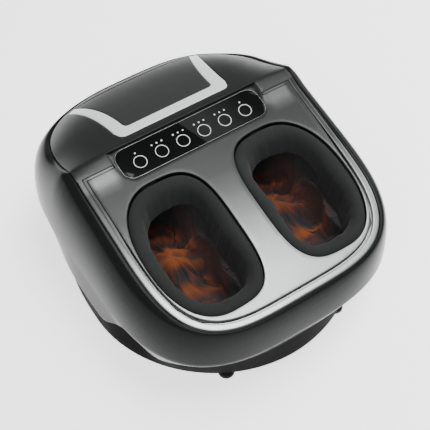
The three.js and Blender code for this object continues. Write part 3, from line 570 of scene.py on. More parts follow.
def sunk(ring, drop):
    return ring - np.array([0, 0, drop])


turn = angles(SHELL_STEPS)
rings = [sunk(side_ring(turn, 0, 0.8), 0.1), side_ring(turn, 0.02, 0.15)]
rings += [side_ring(turn, share) for share in np.linspace(0.05, 1.98, 44)]
rings += [side_ring(turn, 2, 0.3), sunk(side_ring(turn, 2, 1.5), 0.5), side_ring(turn, 2, WALL - 0.3)]
rings += [side_ring(turn, share, WALL) for share in (1.9, 1.5, 1, 0.6, 0.3, 0.08)]
rings += [side_ring(turn, 0.02, WALL), sunk(side_ring(turn, 0, WALL - 0.5), 0.1)]
shell = loft("side_shell", rings, closed=True)

INLET_BOX = ((-13.9, 13.9), (196, 250), (61.6, 82.4))
BOX_FACES = [(0, 1, 3, 2), (4, 6, 7, 5), (0, 4, 5, 1), (2, 3, 7, 6), (0, 2, 6, 4), (1, 5, 7, 3)]
cutter = new_object("inlet_cut", list(itertools.product(*INLET_BOX)), BOX_FACES)
cut = shell.modifiers.new("inlet", "BOOLEAN")
cut.object = cutter
cut.solver = "EXACT"


def apply_all(piece, smooth_under=40.0):
    graph = bpy.context.evaluated_depsgraph_get()
    mesh = bpy.data.meshes.new_from_object(piece.evaluated_get(graph))
    piece.modifiers.clear()
    piece.data = mesh
    mesh.shade_smooth()
    mesh.set_sharp_from_angle(angle=math.radians(smooth_under))
    return piece


apply_all(shell)
bpy.data.objects.remove(cutter)
dress(shell, SHELL_GLOSS, nodes=["body_shell"])
print("side shell:", len(shell.data.polygons), "faces")

# %% [markdown]
# The base tray is the matt black bottom. Its side follows the hem inside the shell and is set in
# at the grips, where the fingers go.

# %% Base tray
TRAY_FOOT, TRAY_GAP, TRAY_OVERLAP, FOOT_HEIGHT = 7, 3, 12, 6


def tray_ring(angle, z, foot, top_share, inset=0.0):
    grip = grip_share(outline_point(HEM, angle)[1])
    low = reach_of(BASE, angle, inset + TRAY_FOOT * foot)
    top = reach_of(HEM, angle, inset + WALL + TRAY_GAP) - GRIP_DEPTH * grip
    reach = lerp(low, top, top_share)
    height = z + top_share * (TRAY_OVERLAP + GRIP_RISE * grip)
    return np.column_stack([reach * np.cos(angle), MIDDLE_Y + reach * np.sin(angle), height])


SIDE_START = FOOT_HEIGHT + TRAY_FOOT
rings = [tray_ring(turn, FOOT_HEIGHT, foot, 0) for foot in (1.5, 1)]
rings += [tray_ring(turn, FOOT_HEIGHT + TRAY_FOOT * (1 - math.cos(a)), 1 - math.sin(a), 0)
          for a in np.linspace(0.2, math.pi / 2, 6)]
rings += [tray_ring(turn, lerp(SIDE_START, HEM_Z, s), 0, s) for s in np.linspace(0.08, 1, 14)]
rings += [tray_ring(turn, lerp(SIDE_START, HEM_Z, s), 0, s, WALL) for s in (1, 0.5, 0)]
rings += [tray_ring(turn, FOOT_HEIGHT + WALL, 1, 0, WALL)]
tray = loft("base_tray_skin", rings, capped=True)
dress(tray, BASE_BLACK, nodes=["base_tray"])
print("base tray:", len(tray.data.polygons), "faces")

# %% [markdown]
# Four rubber feet carry the weight. Each is turned on a lathe: a domed pad with a shallow ring sunk
# into its sole, as moulded feet have.

# %% Rubber feet
FOOT_PROFILE = [(0, 0.6), (5.2, 0.6), (5.8, 0.2), (6.4, 0), (9.6, 0), (10.6, 0.4), (11, 1.3), (11, 4.6),
                (10.6, 5.6), (0, 5.6)]
FOOT_PLACES = (("front", 90, -170), ("rear", 96, 140))
for end, x, y in FOOT_PLACES:
    for side, sign in (("left", -1), ("right", 1)):
        foot = lathe(f"foot_pad_{end}_{side}", FOOT_PROFILE, (sign * x, y, 0))
        dress(foot, RUBBER, nodes=[f"rubber_foot_{end}_{side}"])
print("feet: 4")

# %% [markdown]
# The hood, its silver chevron and the inlay between the legs are sheets cut from the same skin. The
# chevron is drawn as a path in plan with rounded corners. Its legs bend a little, as in the photograph,
# so each leg is a curve through three points.

# %% Hood, chevron and inlay
EDGE_STEP = 2.0
RIM_END_Y, HOOD_THICK, TRIM_THICK, TONGUE_HALF = 55, 6, 2, 113
TRIM_FRONT_Y, TRIM_FRONT_WIDTH, TRIM_HALF, TRIM_LEG_WIDTH, TRIM_CORNER = 87, 17, 86, 18, 14


def seam_line(inset, low_y, steps=160):
    turn = np.linspace(-0.5, math.pi + 0.5, steps)
    line = np.column_stack(outline_point(SEAM, turn, inset))
    return line[line[:, 1] >= low_y]


def curve(points, steps=14):
    (a, b, c), s = np.asarray(points, dtype=float), np.linspace(0, 1, steps)[:, None]
    return a * (1 - s) ** 2 + b * 2 * s * (1 - s) + c * s**2


def mirrored(right):
    return np.vstack([right, right[::-1] * (-1, 1)])


LEG_OUTER = curve([(TRIM_HALF, TRIM_FRONT_Y + TRIM_CORNER), (88, 160), (104, 199.6)])
LEG_INNER = curve([(93, 202.8), (71, 160), (TRIM_HALF - TRIM_LEG_WIDTH, TRIM_FRONT_Y + TRIM_FRONT_WIDTH + 6)])
FRONT_CORNER = round_corners([(60, TRIM_FRONT_Y), (82, TRIM_FRONT_Y), (86, 103)], [0, 10, 0])
BACK_CORNER = round_corners([(68, 112), (67, TRIM_FRONT_Y + TRIM_FRONT_WIDTH), (50, 104)], [0, 6, 0])
chevron_line = np.vstack([FRONT_CORNER[1:-1], LEG_OUTER, LEG_INNER, BACK_CORNER[1:-1]])
chevron_loop = resample(mirrored(chevron_line), EDGE_STEP)
inlay_line = np.vstack([BACK_CORNER[1:-1][::-1], LEG_INNER[::-1]])
inlay_loop = resample(mirrored(inlay_line), EDGE_STEP)
pocket_line = np.vstack([FRONT_CORNER[1:-1], LEG_OUTER, LEG_INNER[:1]])
pocket_loop = grown(resample(mirrored(pocket_line), EDGE_STEP), 0.5)

back = seam_line(WALL + FIT, RIM_END_Y)
hood_line = [(TONGUE_HALF + FIT, 73.4), (TONGUE_HALF + FIT, RIM_END_Y), (float(back[0][0]), RIM_END_Y)]
hood_front = [(float(back[-1][0]), RIM_END_Y), (-TONGUE_HALF - FIT, RIM_END_Y), (-TONGUE_HALF - FIT, 73.4)]
hood_loop = resample(np.vstack([hood_line, back[1:-1], hood_front]), EDGE_STEP)
hood = skin_plate("hood_skin", hood_loop, [pocket_loop], skin_z, HOOD_THICK, 0.7, 4.0)
# The pocket under the chevron is black as painted shadow, so the gaps round the chevron read dark.
shadow_pocket = skin_plate("hood_pocket_painted_shadow", grown(pocket_loop, 1.5), [], raised(-TRIM_THICK - 0.5), 2.5, 0.3, 6.0)
chevron = skin_plate("chevron_bar", grown(chevron_loop, -0.1), [], raised(0.15), TRIM_THICK, 0.8, 3.0)
inlay = skin_plate("rear_inlay_skin", grown(inlay_loop, -0.5), [], raised(-0.1), TRIM_THICK, 0.6, 4.0)
dress(hood, HOOD_SATIN, nodes=["top_hood"])
dress(shadow_pocket, BASE_BLACK)
dress(chevron, SILVER, nodes=["chevron_trim"])
dress(inlay, INLAY_SATIN, nodes=["rear_inlay"])
print("hood:", len(hood.data.polygons), "faces; chevron:", len(chevron.data.polygons))

# %% [markdown]
# The foot plate is one painted sheet with two openings and a rounded slot for the control panel.
# The silver rim runs round it, outside a black shadow gap, and ends at the hood on both sides.
# The rim has two open ends, so it is a loft along its path with a rounded section, not a sheet.

# %% Plate and rim
PLATE_REAR_Y, PLATE_THICK, GROOVE, RIM_DEPTH = 52, 3, 4, 7
RIM_STEPS, SEAL_THICK, SEAM_SWEEP = 220, 1, 170
RIM_SECTION = [(0, 5.5), (0, 1.4), (0.02, 0.6), (0.07, 0.15), (0.14, 0), (0.3, 0), (0.5, 0), (0.7, 0),
               (0.86, 0.1), (0.93, 0.35), (0.98, 0.9), (1, 1.8), (1, RIM_DEPTH), (0.6, RIM_DEPTH),
               (0.2, RIM_DEPTH)]
FOOT_X, OPENING_HALF, OPENING_FRONT_Y, OPENING_REAR_Y = 84, 66, -177, 14.5
OPENING_POWERS = (2.3, 3.4)
PANEL_HALF, PANEL_DEPTH, PANEL_SHIFT, PANEL_CORNER = 108, 44, 4.5, 15
OPENING_Y, OPENING_LONG = (OPENING_FRONT_Y + OPENING_REAR_Y) / 2, (OPENING_REAR_Y - OPENING_FRONT_Y) / 2


def opening_point(side, angle, inset=0.0):
    power = np.where(side * np.cos(angle) > 0, *OPENING_POWERS)
    reach = rounded(angle, OPENING_HALF, OPENING_LONG, power) - inset
    return np.column_stack([side * FOOT_X + reach * np.cos(angle), OPENING_Y + reach * np.sin(angle)])


def plate_front(grow, steps=150):
    return np.column_stack(outline_point(PLATE, np.linspace(math.pi, 2 * math.pi, steps), -grow))


def on_slope(loop):
    loop = np.asarray(loop, dtype=float)
    return np.column_stack([loop[:, 0], KEYS_Y + loop[:, 1] * math.cos(SLOPE)])


def panel_loop(grow):
    half, deep = PANEL_HALF + grow, PANEL_DEPTH / 2 + grow
    corners = [(half, deep), (-half, deep), (-half, -deep), (half, -deep)]
    return round_corners(corners, [PANEL_CORNER + grow] * 4, 10) + (0, PANEL_SHIFT)


rear = np.array([(PLATE["half"], PLATE_REAR_Y), (TONGUE_HALF, PLATE_REAR_Y), (TONGUE_HALF, CREST_Y)])
plate_loop = resample(np.vstack([plate_front(0), mirrored(rear)]), EDGE_STEP)
slot_loop = resample(on_slope(panel_loop(FIT)), EDGE_STEP)
openings = [opening_point(side, angles(180)) for side in (-1, 1)]


def plate_top(x, y):
    side = smoothstep(np.abs(x), 108, 114)
    return plate_z(y) + (skin_z(x, y) - plate_z(y)) * side


plate = skin_plate("plate_skin", plate_loop, [slot_loop, *openings], plate_top, PLATE_THICK, 1.0, 4.0)
dress(plate, PLATE_PAINT_AND_REFLECTION, nodes=["foot_plate"])


def side_places(rear_y, steps=36):
    return np.linspace(rear_y, MIDDLE_Y, steps)[:-1]


def with_sides(left, front):
    return np.vstack([left, front, left[::-1] * (-1, 1)])


def groove_side(grow, rear_y):
    along = side_places(rear_y)
    left = np.column_stack([np.full(len(along), -PLATE["half"] - grow), along])
    return with_sides(left, plate_front(grow, RIM_STEPS))


def seam_side():
    sweep = math.pi - np.arcsin(np.clip((side_places(RIM_END_Y - FIT) - MIDDLE_Y) / SEAM_SWEEP, 0, 1))
    turn = np.linspace(math.pi, 2 * math.pi, RIM_STEPS)
    return with_sides(*(np.column_stack(outline_point(SEAM, angle, WALL + FIT)) for angle in (sweep, turn)))


def strip(name, rows):
    return loft(name, list(np.stack(rows, axis=1)), capped=True)


outer, inner = seam_side(), groove_side(GROOVE, RIM_END_Y - FIT)
rim = strip("rim_skin", [on_skin(lerp(inner, outer, share), drop) for share, drop in RIM_SECTION])
dress(rim, RIM_PAINT_AND_REFLECTION, nodes=["rim_trim"])


def seal(name, near, far, deep):
    low = deep + SEAL_THICK
    return strip(name, [on_skin(near, deep), on_skin(far, deep), on_skin(far, low), on_skin(near, low)])


def groove_fill():
    near, far = (groove_side(grow, RIM_END_Y - 1) for grow in (0.25, GROOVE - 0.25))
    deep = lerp(0.5, 5.5, smoothstep(-near[:, 1], -10, 75))
    return seal("groove_seal", near, far, deep)


def hood_gap(side, steps=24):
    x = side * np.linspace(TONGUE_HALF + 1.2, 156, steps)
    near, far = (np.column_stack([x, np.full(steps, y)]) for y in (PLATE_REAR_Y + 0.3, RIM_END_Y - 0.3))
    return seal(f"hood_seal_{hand(side)}", near, far, 0.5)


for piece in (groove_fill(), hood_gap(-1), hood_gap(1)):
    dress(piece, PLATE_PAINT_AND_REFLECTION)
print("plate:", len(plate.data.polygons), "faces; rim:", len(rim.data.polygons))

# %% [markdown]
# The control panel is a gloss black lens let into the plate, printed from behind with a light ring
# round each key and small level lights above. It is flat, so it is made flat and then leaned back by
# the slope of the plate. Its edge has a thin bright chamfer.

# %% Control panel
KEY_COUNT, KEY_PITCH, KEY_RADIUS, PANEL_THICK = 6, 32, 7.3, 3
KEY_X = [(i - (KEY_COUNT - 1) / 2) * KEY_PITCH for i in range(KEY_COUNT)]
LEAN = Matrix.Translation(Vector((0, KEYS_Y - ORIGIN_Y, KEYS_Z)) * MM) @ Matrix.Rotation(SLOPE, 4, "X")


def lean_back(piece, made_at=0):
    piece.data.transform(LEAN @ Matrix.Translation((0, made_at * MM, 0)))
    return piece


def circle(x, radius, steps=48):
    return np.column_stack([x + radius * np.cos(angles(steps)), radius * np.sin(angles(steps))])


def panel_edge(grow):
    return resample(panel_loop(grow), EDGE_STEP)


def flat_plate(name, outer, holes, height, thick, edge):
    made = skin_plate(name, outer, holes, lambda x, y: 0 * x + height, thick, edge, 6.0, 12)
    return lean_back(made, ORIGIN_Y)


holes = [circle(x, KEY_RADIUS + FIT) for x in KEY_X]
lens = flat_plate("lens_skin", panel_edge(0), holes, 0.15, PANEL_THICK, 0.2)
dress(lens, PANEL_GLOSS, nodes=["control_lens"])
bezel = flat_plate("lens_bezel", panel_edge(FIT - 0.05), [panel_edge(-0.2)], 0.3, 0.6, 0.1)
dress(bezel, BEZEL)

KEY_PROFILE = [(0, -2.6), (7.3, -2.6), (8.7, -1.6), (8.7, -0.6), (KEY_RADIUS, -0.6), (KEY_RADIUS, 0.2),
               (7.22, 0.28), (7.05, 0.34), (6.9, 0.34), (0, 0.34)]
for number, x in enumerate(KEY_X, 1):
    profile = [(r, z - PANEL_THICK * (z < -0.1)) for r, z in KEY_PROFILE]
    key = lean_back(lathe(f"key_cap_{number}", profile, (x, 0, 0), 64, 8), ORIGIN_Y)
    dress(key, PANEL_GLOSS, f"key_{number}", [f"button_{number}"])
print("panel: 1 lens,", KEY_COUNT, "keys")

# %% [markdown]
# The printed rings and level lights repeat along the row of keys, so a Geometry Nodes tree places
# them: points on a line, a ring or a disc on each point, then real geometry with its material. The
# result is turned into a plain mesh and leaned back with the panel.


# %% Geometry Nodes helper
class Tree:
    def __init__(self, name, sizes):
        self.group = bpy.data.node_groups.new(name, "GeometryNodeTree")
        face = self.group.interface
        self.sizes = []
        for key, value in sizes.items():
            socket = face.new_socket(name=key, in_out="INPUT", socket_type="NodeSocketFloat")
            self.sizes.append((socket.identifier, value))
        face.new_socket(name="Geometry", in_out="OUTPUT", socket_type="NodeSocketGeometry")
        self.entry = self.group.nodes.new("NodeGroupInput")
        self.exit = self.group.nodes.new("NodeGroupOutput")

    def size(self, key):
        return self.entry.outputs[key]

    def add(self, kind, inputs, **settings):
        node = self.group.nodes.new(kind)
        for key, setting in settings.items():
            setattr(node, key, setting)
        for key, value in inputs.items():
            for source in value if isinstance(value, list) else [value]:
                if isinstance(source, bpy.types.NodeSocket):
                    self.group.links.new(source, node.inputs[key])
                else:
                    node.inputs[key].default_value = source
        return node.outputs[0]

    def result(self, geometry, material):
        real = self.add("GeometryNodeRealizeInstances", {0: geometry})
        painted = self.add("GeometryNodeSetMaterial", {"Geometry": real, "Material": material})
        self.group.links.new(painted, self.exit.inputs[0])

    def piece(self, name):
        mesh = bpy.data.meshes.new(name)
        mesh.from_pydata([(0, 0, 0)], [], [])
        made = bpy.data.objects.new(name, mesh)
        bpy.context.collection.objects.link(made)
        modifier = made.modifiers.new(name, "NODES")
        modifier.node_group = self.group
        for identifier, value in self.sizes:
            modifier[identifier] = value
        return apply_all(made, 35.0)


# %% Key prints
PRINT_THICK, PRINT_LIFT = 0.0003, 0.00022


def prints_tree():
    t = Tree("key_prints", {"Pitch": KEY_PITCH * MM, "Ring Radius": 8.5 * MM, "Ring Width": 0.8 * MM,
                            "Light Radius": 1.15 * MM, "Light Spacing": 7.4 * MM, "Light Rise": 13.6 * MM})
    pitch, rise = t.size("Pitch"), t.size("Light Rise")
    def shape(kind, **inputs):
        return t.add("GeometryNode" + kind, {key.replace("_", " "): value for key, value in inputs.items()})

    def times(size, number):
        return t.add("ShaderNodeMath", {0: size, 1: number}, operation="MULTIPLY")

    def copies(what, count, first, step, up=0.0):
        place = t.add("ShaderNodeCombineXYZ", {0: first, 1: up})
        offset = t.add("ShaderNodeCombineXYZ", {0: step})
        line = shape("MeshLine", Count=count, Start_Location=place, Offset=offset)
        return shape("InstanceOnPoints", Points=line, Instance=what)

    gap, start = t.size("Light Spacing"), times(pitch, -2.5)
    path = shape("CurvePrimitiveCircle", Resolution=56, Radius=t.size("Ring Radius"))
    section = shape("CurvePrimitiveQuadrilateral", Width=t.size("Ring Width"), Height=PRINT_THICK)
    ring = shape("CurveToMesh", Curve=path, Profile_Curve=section, Fill_Caps=True)
    rings = copies(ring, KEY_COUNT, start, pitch)
    light = shape("MeshCylinder", Vertices=16, Radius=t.size("Light Radius"), Depth=PRINT_THICK)
    three = copies(light, 3, times(gap, -1.0), gap)
    fours = copies(three, 4, times(pitch, -1.5), pitch, rise)
    ones = copies(light, 2, start, times(pitch, 5.0), rise)
    joined = t.add("GeometryNodeJoinGeometry", {0: [rings, fours, ones]})
    lifted = shape("Transform", Geometry=joined, Translation=(0, 0, PRINT_LIFT))
    t.result(lifted, PRINT_WHITE)
    return t


prints = lean_back(prints_tree().piece("panel_prints"))
dress(prints, PRINT_WHITE)
print("panel prints:", len(prints.data.polygons), "faces")

# %% [markdown]
# Each well holds a fabric sock. Its collar is a padded ring that fills the opening, and its lining is
# a sheet that hangs from the collar down to the sole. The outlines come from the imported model: the
# opening at the top, and under it the tub that carries the sock.

# %% Sock outlines
WELL_X, SOLE_Z, TUB_LOW_Z = 84, 75, 66
TUB_FLOOR, TUB_TOP, TUB_POWERS = (48, -128, 72), (69, -181.5, 112), (3.2, 5.0)
SOCK_TURN = 120


def tub_point(side, angle, share, inset):
    flare = np.minimum(1, share / 0.8)
    half, front, rear = (lerp(low, top, flare) for low, top in zip(TUB_FLOOR, TUB_TOP))
    reach = rounded(angle, half, (rear - front) / 2, np.where(np.cos(angle) * side > 0, *TUB_POWERS)) - inset
    return side * WELL_X + reach * np.cos(angle), (rear + front) / 2 + reach * np.sin(angle)


def tub_rim_z(y):
    return skin_z(np.full_like(y, WELL_X), y) - WALL - FIT - 12 * smoothstep(y, 2.5, 14.5)


def sock_ring(side, angle, share, inset):
    x, y = tub_point(side, angle, share, inset)
    return np.column_stack([x, y, lerp(TUB_LOW_Z, tub_rim_z(y), share)])


def collar_ring(side, angle, inset, drop):
    x, y = opening_point(side, angle, inset).T
    return np.column_stack([x, y, plate_z(y) - drop])


def waves(angle, phase, *tones):
    return sum(size * np.sin(count * angle + phase * (i + 1)) for i, (count, size) in enumerate(tones))


# %% [markdown]
# The collar is foam under knitted cloth. Its section is a closed loop: up beside the plate, over a
# soft crown, down the inside and back underneath. Small puckers run round its inner edge, and a fine
# dent at the back marks where the ring is closed.

# %% Sock collars
COLLAR_SECTION = [(0.8, 26), (0.8, 17), (0.9, 9), (1.4, 5), (2.8, 2.6), (5, 1.5), (8, 1.1), (11, 1.3),
                  (14, 2.2), (17, 4), (19.4, 6.6), (21, 10), (22, 15), (22.8, 21), (23.6, 28), (24.6, 36),
                  (25.8, 44), (26.6, 50), (26, 52.5), (24.6, 50), (22, 42), (18, 35), (12, 30.5), (3, 27.6)]
SEAM_ANGLE = math.radians(97)


def hang(turn, drop):
    shallow = lerp(1.0, 0.42, smoothstep(np.sin(turn), 0.0, 0.75))
    return np.where(np.asarray(drop) > 12, 12 + (drop - 12) * shallow, drop)


def collar(side):
    turn = angles(SOCK_TURN * 2)
    rings = []
    away = np.abs((turn - SEAM_ANGLE + math.pi) % (2 * math.pi) - math.pi)
    groove = np.exp(-((away / 0.012) ** 2))
    for inset, drop in COLLAR_SECTION:
        soft = smoothstep(np.array(float(inset)), 9, 22)
        pucker = waves(turn, 1.7 * side, (11, 0.35), (23, 0.3), (37, 0.22)) * soft
        hollow = waves(turn, 0.9 * side, (3, 0.5), (5, 0.4)) * smoothstep(np.array(float(inset)), 3, 12)
        sink = 0.9 * groove * (inset > 2) * (drop < 30)
        rings.append(collar_ring(side, turn, inset - pucker, hang(turn, drop) + hollow + sink))
    return loft(f"sock_collar_{hand(side)}", rings, closed=True, smooth_under=70)


# %% [markdown]
# The lining has more cloth in it than the well needs, so it lies in folds. It starts as a smooth
# bag between the collar and the sole. Rounded forms press on it from outside: a side bag low on
# each wall and three kneading heads under the sole. A cloth simulation with its top edge held then
# lets the spare cloth settle into folds. Its movement is capped, so it stays inside the tub, and near
# the middle of the sole, where the rows of the mesh meet, it is brought back to the smooth shape.

# %% Sock linings
SPARE = 0.13
CREASES = [(-26, -70, 34, -96, 10, 6), (-30, -52, 36, -66, -7, 7), (-28, -30, 34, -52, 9, 6),
           (-32, -8, 30, -30, 8, 5), (-34, 12, 34, 0, 10, 6), (-22, -106, 26, -118, 7, 5),
           (-30, 30, 30, 22, 8, 6), (4, -92, 14, -20, -5, 6)]
WALL_PUSHES = ((17, -101, 26), (10, -28, 30), (9, 40, 26))
HEAD_PLACES, HEAD_WIDE, HEAD_RISE = (-93, -30, 33), 21, 13
LINING_ROWS, HELD_ROWS, SETTLE_FRAMES = 30, 2, 16
BED_GAP, BED_EASE, MOVE_CAP, CALM_REACH = 7, 0.1, 14, 27
FLAT_WIDTH, FLAT_FILL, LINING_THICK = 0.46, 0.8, 0.0008
CLOTH = {"quality": 5, "mass": 0.12, "air_damping": 4, "tension_stiffness": 12, "compression_stiffness": 12,
         "shear_stiffness": 4, "bending_stiffness": 0.6, "tension_damping": 8, "compression_damping": 8,
         "bending_damping": 8, "vertex_group_mass": "held", "shrink_min": -SPARE}


def dots(first, second):
    return np.einsum("ij,ij->i", first, second)


def facing(piece, arrows):
    normals = np.array([v.normal[:] for v in piece.data.vertices])
    return normals * np.sign(dots(normals, arrows))[:, None]


def pressed(side, points, free):
    x, y, z = points[:, 0] - side * WELL_X, points[:, 1].copy(), points[:, 2].copy()
    wall = smoothstep(z, 76, 96) * free
    push = sum(deep * np.exp(-(((y - at) / wide) ** 2)) for deep, at, wide in WALL_PUSHES)
    pushed_x = x - np.sign(x) * push * wall * smoothstep(np.abs(x), 12, 34)
    for head_y in HEAD_PLACES:
        away = (x / HEAD_WIDE) ** 2 + ((y - head_y) / HEAD_WIDE) ** 2
        z += HEAD_RISE * np.exp(-(away**1.3)) * smoothstep(-z, -100, -80)
    for left_x, left_y, right_x, right_y, deep, wide in CREASES:
        along = np.array([right_x - left_x, right_y - left_y])
        length = np.linalg.norm(along)
        basis = np.column_stack([along, (-along[1], along[0])])
        run, off = (np.column_stack([x - left_x, y - left_y]) @ basis / length).T
        bend = off - 5 * np.sin(math.pi * run / length)
        ends = smoothstep(run, -8, 6) * smoothstep(length - run, -8, 6)
        z += deep * ends * np.exp(-((bend / wide) ** 2)) * smoothstep(-z, -124, -84)
    return np.column_stack([pushed_x + side * WELL_X, y, z])


def lining_points(side):
    turn = angles(SOCK_TURN)
    stops = [collar_ring(side, turn, 23.4, hang(turn, 38)), collar_ring(side, turn, 25.4, hang(turn, 48))]
    stops += [sock_ring(side, turn, share, 19) for share in (0.42, 0.3, 0.17)]
    for share, inset in ((0.07, 20), (0.0, 24), (0.0, 31), (0.0, 38)):
        ring = sock_ring(side, turn, share, inset)
        ring[:, 2] = SOLE_Z + 9 * share / 0.07 * 0.6
        stops.append(ring)
    stops = np.array(stops)
    gaps = np.linalg.norm(np.diff(stops, axis=0), axis=2).mean(axis=1)
    at = np.concatenate([[0], np.cumsum(gaps)])
    along = np.linspace(0, at[-1], LINING_ROWS)
    rows = [[np.interp(along, at, stops[:, j, axis]) for axis in range(3)] for j in range(SOCK_TURN)]
    rows = np.array(rows).transpose(2, 0, 1)
    for _ in range(6):
        rows[2:-1] = 0.5 * rows[2:-1] + 0.25 * (rows[1:-2] + rows[3:])
    middle = rows[-1].mean(axis=0)
    rows = list(rows) + [lerp(middle, rows[-1], s) for s in (0.8, 0.6, 0.4, 0.2)]
    return rows, middle


def lining(side, seed):
    rows, middle = lining_points(side)
    flat = np.concatenate(rows + [middle[None]])
    faces = ring_faces(len(rows), SOCK_TURN)
    last, tip = (len(rows) - 1) * SOCK_TURN, len(flat) - 1
    faces += [(last + j, last + (j + 1) % SOCK_TURN, tip) for j in range(SOCK_TURN)]
    row = np.arange(len(flat)) // SOCK_TURN
    calm = pressed(side, flat, smoothstep(row, 1.0, 7.0))
    random = np.random.default_rng(seed)
    loose = np.clip((row - 2) / 5, 0, 1)[:, None]
    start = calm + random.normal(0, 0.5, calm.shape) * loose
    piece = new_object(f"sock_lining_{hand(side)}", start, faces, 180)
    return piece, start, calm


def settle(piece, bed):
    held = piece.vertex_groups.new(name="held")
    held.add(list(range(SOCK_TURN * HELD_ROWS)), 1.0, "REPLACE")
    cloth = piece.modifiers.new("folds", "CLOTH")
    for key, value in CLOTH.items():
        setattr(cloth.settings, key, value)
    cloth.collision_settings.distance_min = 0.0015
    cloth.collision_settings.collision_quality = 2
    cloth.collision_settings.use_self_collision = False
    wall = bed.modifiers.new("bed", "COLLISION")
    bed.collision.thickness_outer, bed.collision.thickness_inner = 0.001, 0.012
    scene = bpy.context.scene
    for frame_number in range(1, SETTLE_FRAMES + 1):
        scene.frame_set(frame_number)
    apply_all(piece, 180)
    bed.modifiers.remove(wall)
    scene.frame_set(1)


def mesh_points(piece):
    flat = np.empty(len(piece.data.vertices) * 3)
    piece.data.vertices.foreach_get("co", flat)
    return flat.reshape(-1, 3) / MM + (0, ORIGIN_Y, 0)


def set_points(piece, points):
    piece.data.vertices.foreach_set("co", ((points - (0, ORIGIN_Y, 0)) * MM).ravel())
    piece.data.update()


def area_of(piece):
    return sum(face.area for face in piece.data.polygons)


def even_out(piece, rounds, share):
    ends = np.empty(len(piece.data.edges) * 2, dtype=int)
    piece.data.edges.foreach_get("vertices", ends)
    ends = ends.reshape(-1, 2)
    points = mesh_points(piece)
    count = np.bincount(ends.ravel(), minlength=len(points))[:, None]
    for _ in range(rounds):
        total = np.zeros_like(points)
        np.add.at(total, ends[:, 0], points[ends[:, 1]])
        np.add.at(total, ends[:, 1], points[ends[:, 0]])
        points = lerp(points, total / count, share)
    return points


# The lining's glow is painted light: the heat lamps' glow is painted low in the middle of the well, and a
# painted shade darkens it in the fold valleys.
def add_painted_glow(piece, side):
    points = mesh_points(piece)
    x, y, z = points[:, 0] - side * WELL_X, points[:, 1], points[:, 2]
    normals = facing(piece, np.array([side * WELL_X, -45, 130]) - points)
    fine, broad = (dots(points - even_out(piece, rounds, 0.5), normals) for rounds in (8, 60))
    ridge = np.clip(0.6 + fine / 4.5 + broad / 13, 0, 1)
    low = smoothstep(-z, -138, -96)
    glow = np.exp(-((x / 42) ** 4)) * smoothstep(y, -122, -84) * smoothstep(-y, -46, 2) * low
    for name, values in (("glow", glow), ("ridge", ridge)):
        layer = piece.data.attributes.new(name, "FLOAT", "POINT")
        layer.data.foreach_set("value", values.astype(np.float32))


# Colours of the painted lamp glow on the lining, from none to full.
PAINTED_GLOW_STOPS = [(0.0, colour(0, 0, 0)), (0.3, colour(0.010, 0.0015, 0.0006)),
              (0.6, colour(0.030, 0.0066, 0.0016)), (1.0, colour(0.08, 0.023, 0.005))]


def knitted(name, tone, painted_glow=False):
    g = Graph(name)
    place = g.place()
    loops = g.node("ShaderNodeTexVoronoi", None, {"Vector": place, "Scale": 1150.0}, 0)
    cloud = g.noise(place, 30.0, 3.0)
    base = g.scaled(tone, g.span(cloud, 0.3, 0.7, 0.85, 1.18))
    sockets = {"Roughness": 0.8 + 0.1 * cloud, "Normal": g.bump(loops, 0.00025, 0.6)}
    # Painted light: where the painted glow lies, the cloth is tinted orange and emits light, less in the fold
    # valleys by the painted fold shade.
    if painted_glow:
        glow, ridge = (g.node("ShaderNodeAttribute", {"attribute_name": key}, None, 2)
                       for key in ("glow", "ridge"))
        lit = glow * g.span(g.noise(place, 26.0, 2.0), 0.36, 0.62, 0.6, 1.0)
        base = g.mix(lit * ridge, base, colour(0.15, 0.036, 0.008))
        warm = {0: lit * ridge * 1.35}
        sockets["Emission Color"] = g.node("ShaderNodeValToRGB", {"stops": PAINTED_GLOW_STOPS}, warm)
        g.shader.inputs["Emission Strength"].default_value = 1.0
    sockets["Base Color"] = base
    for socket, value in (("Sheen Weight", 0.05), ("Sheen Roughness", 0.6), ("Specular IOR Level", 0.2)):
        g.shader.inputs[socket].default_value = value
    return g.finish(**sockets)


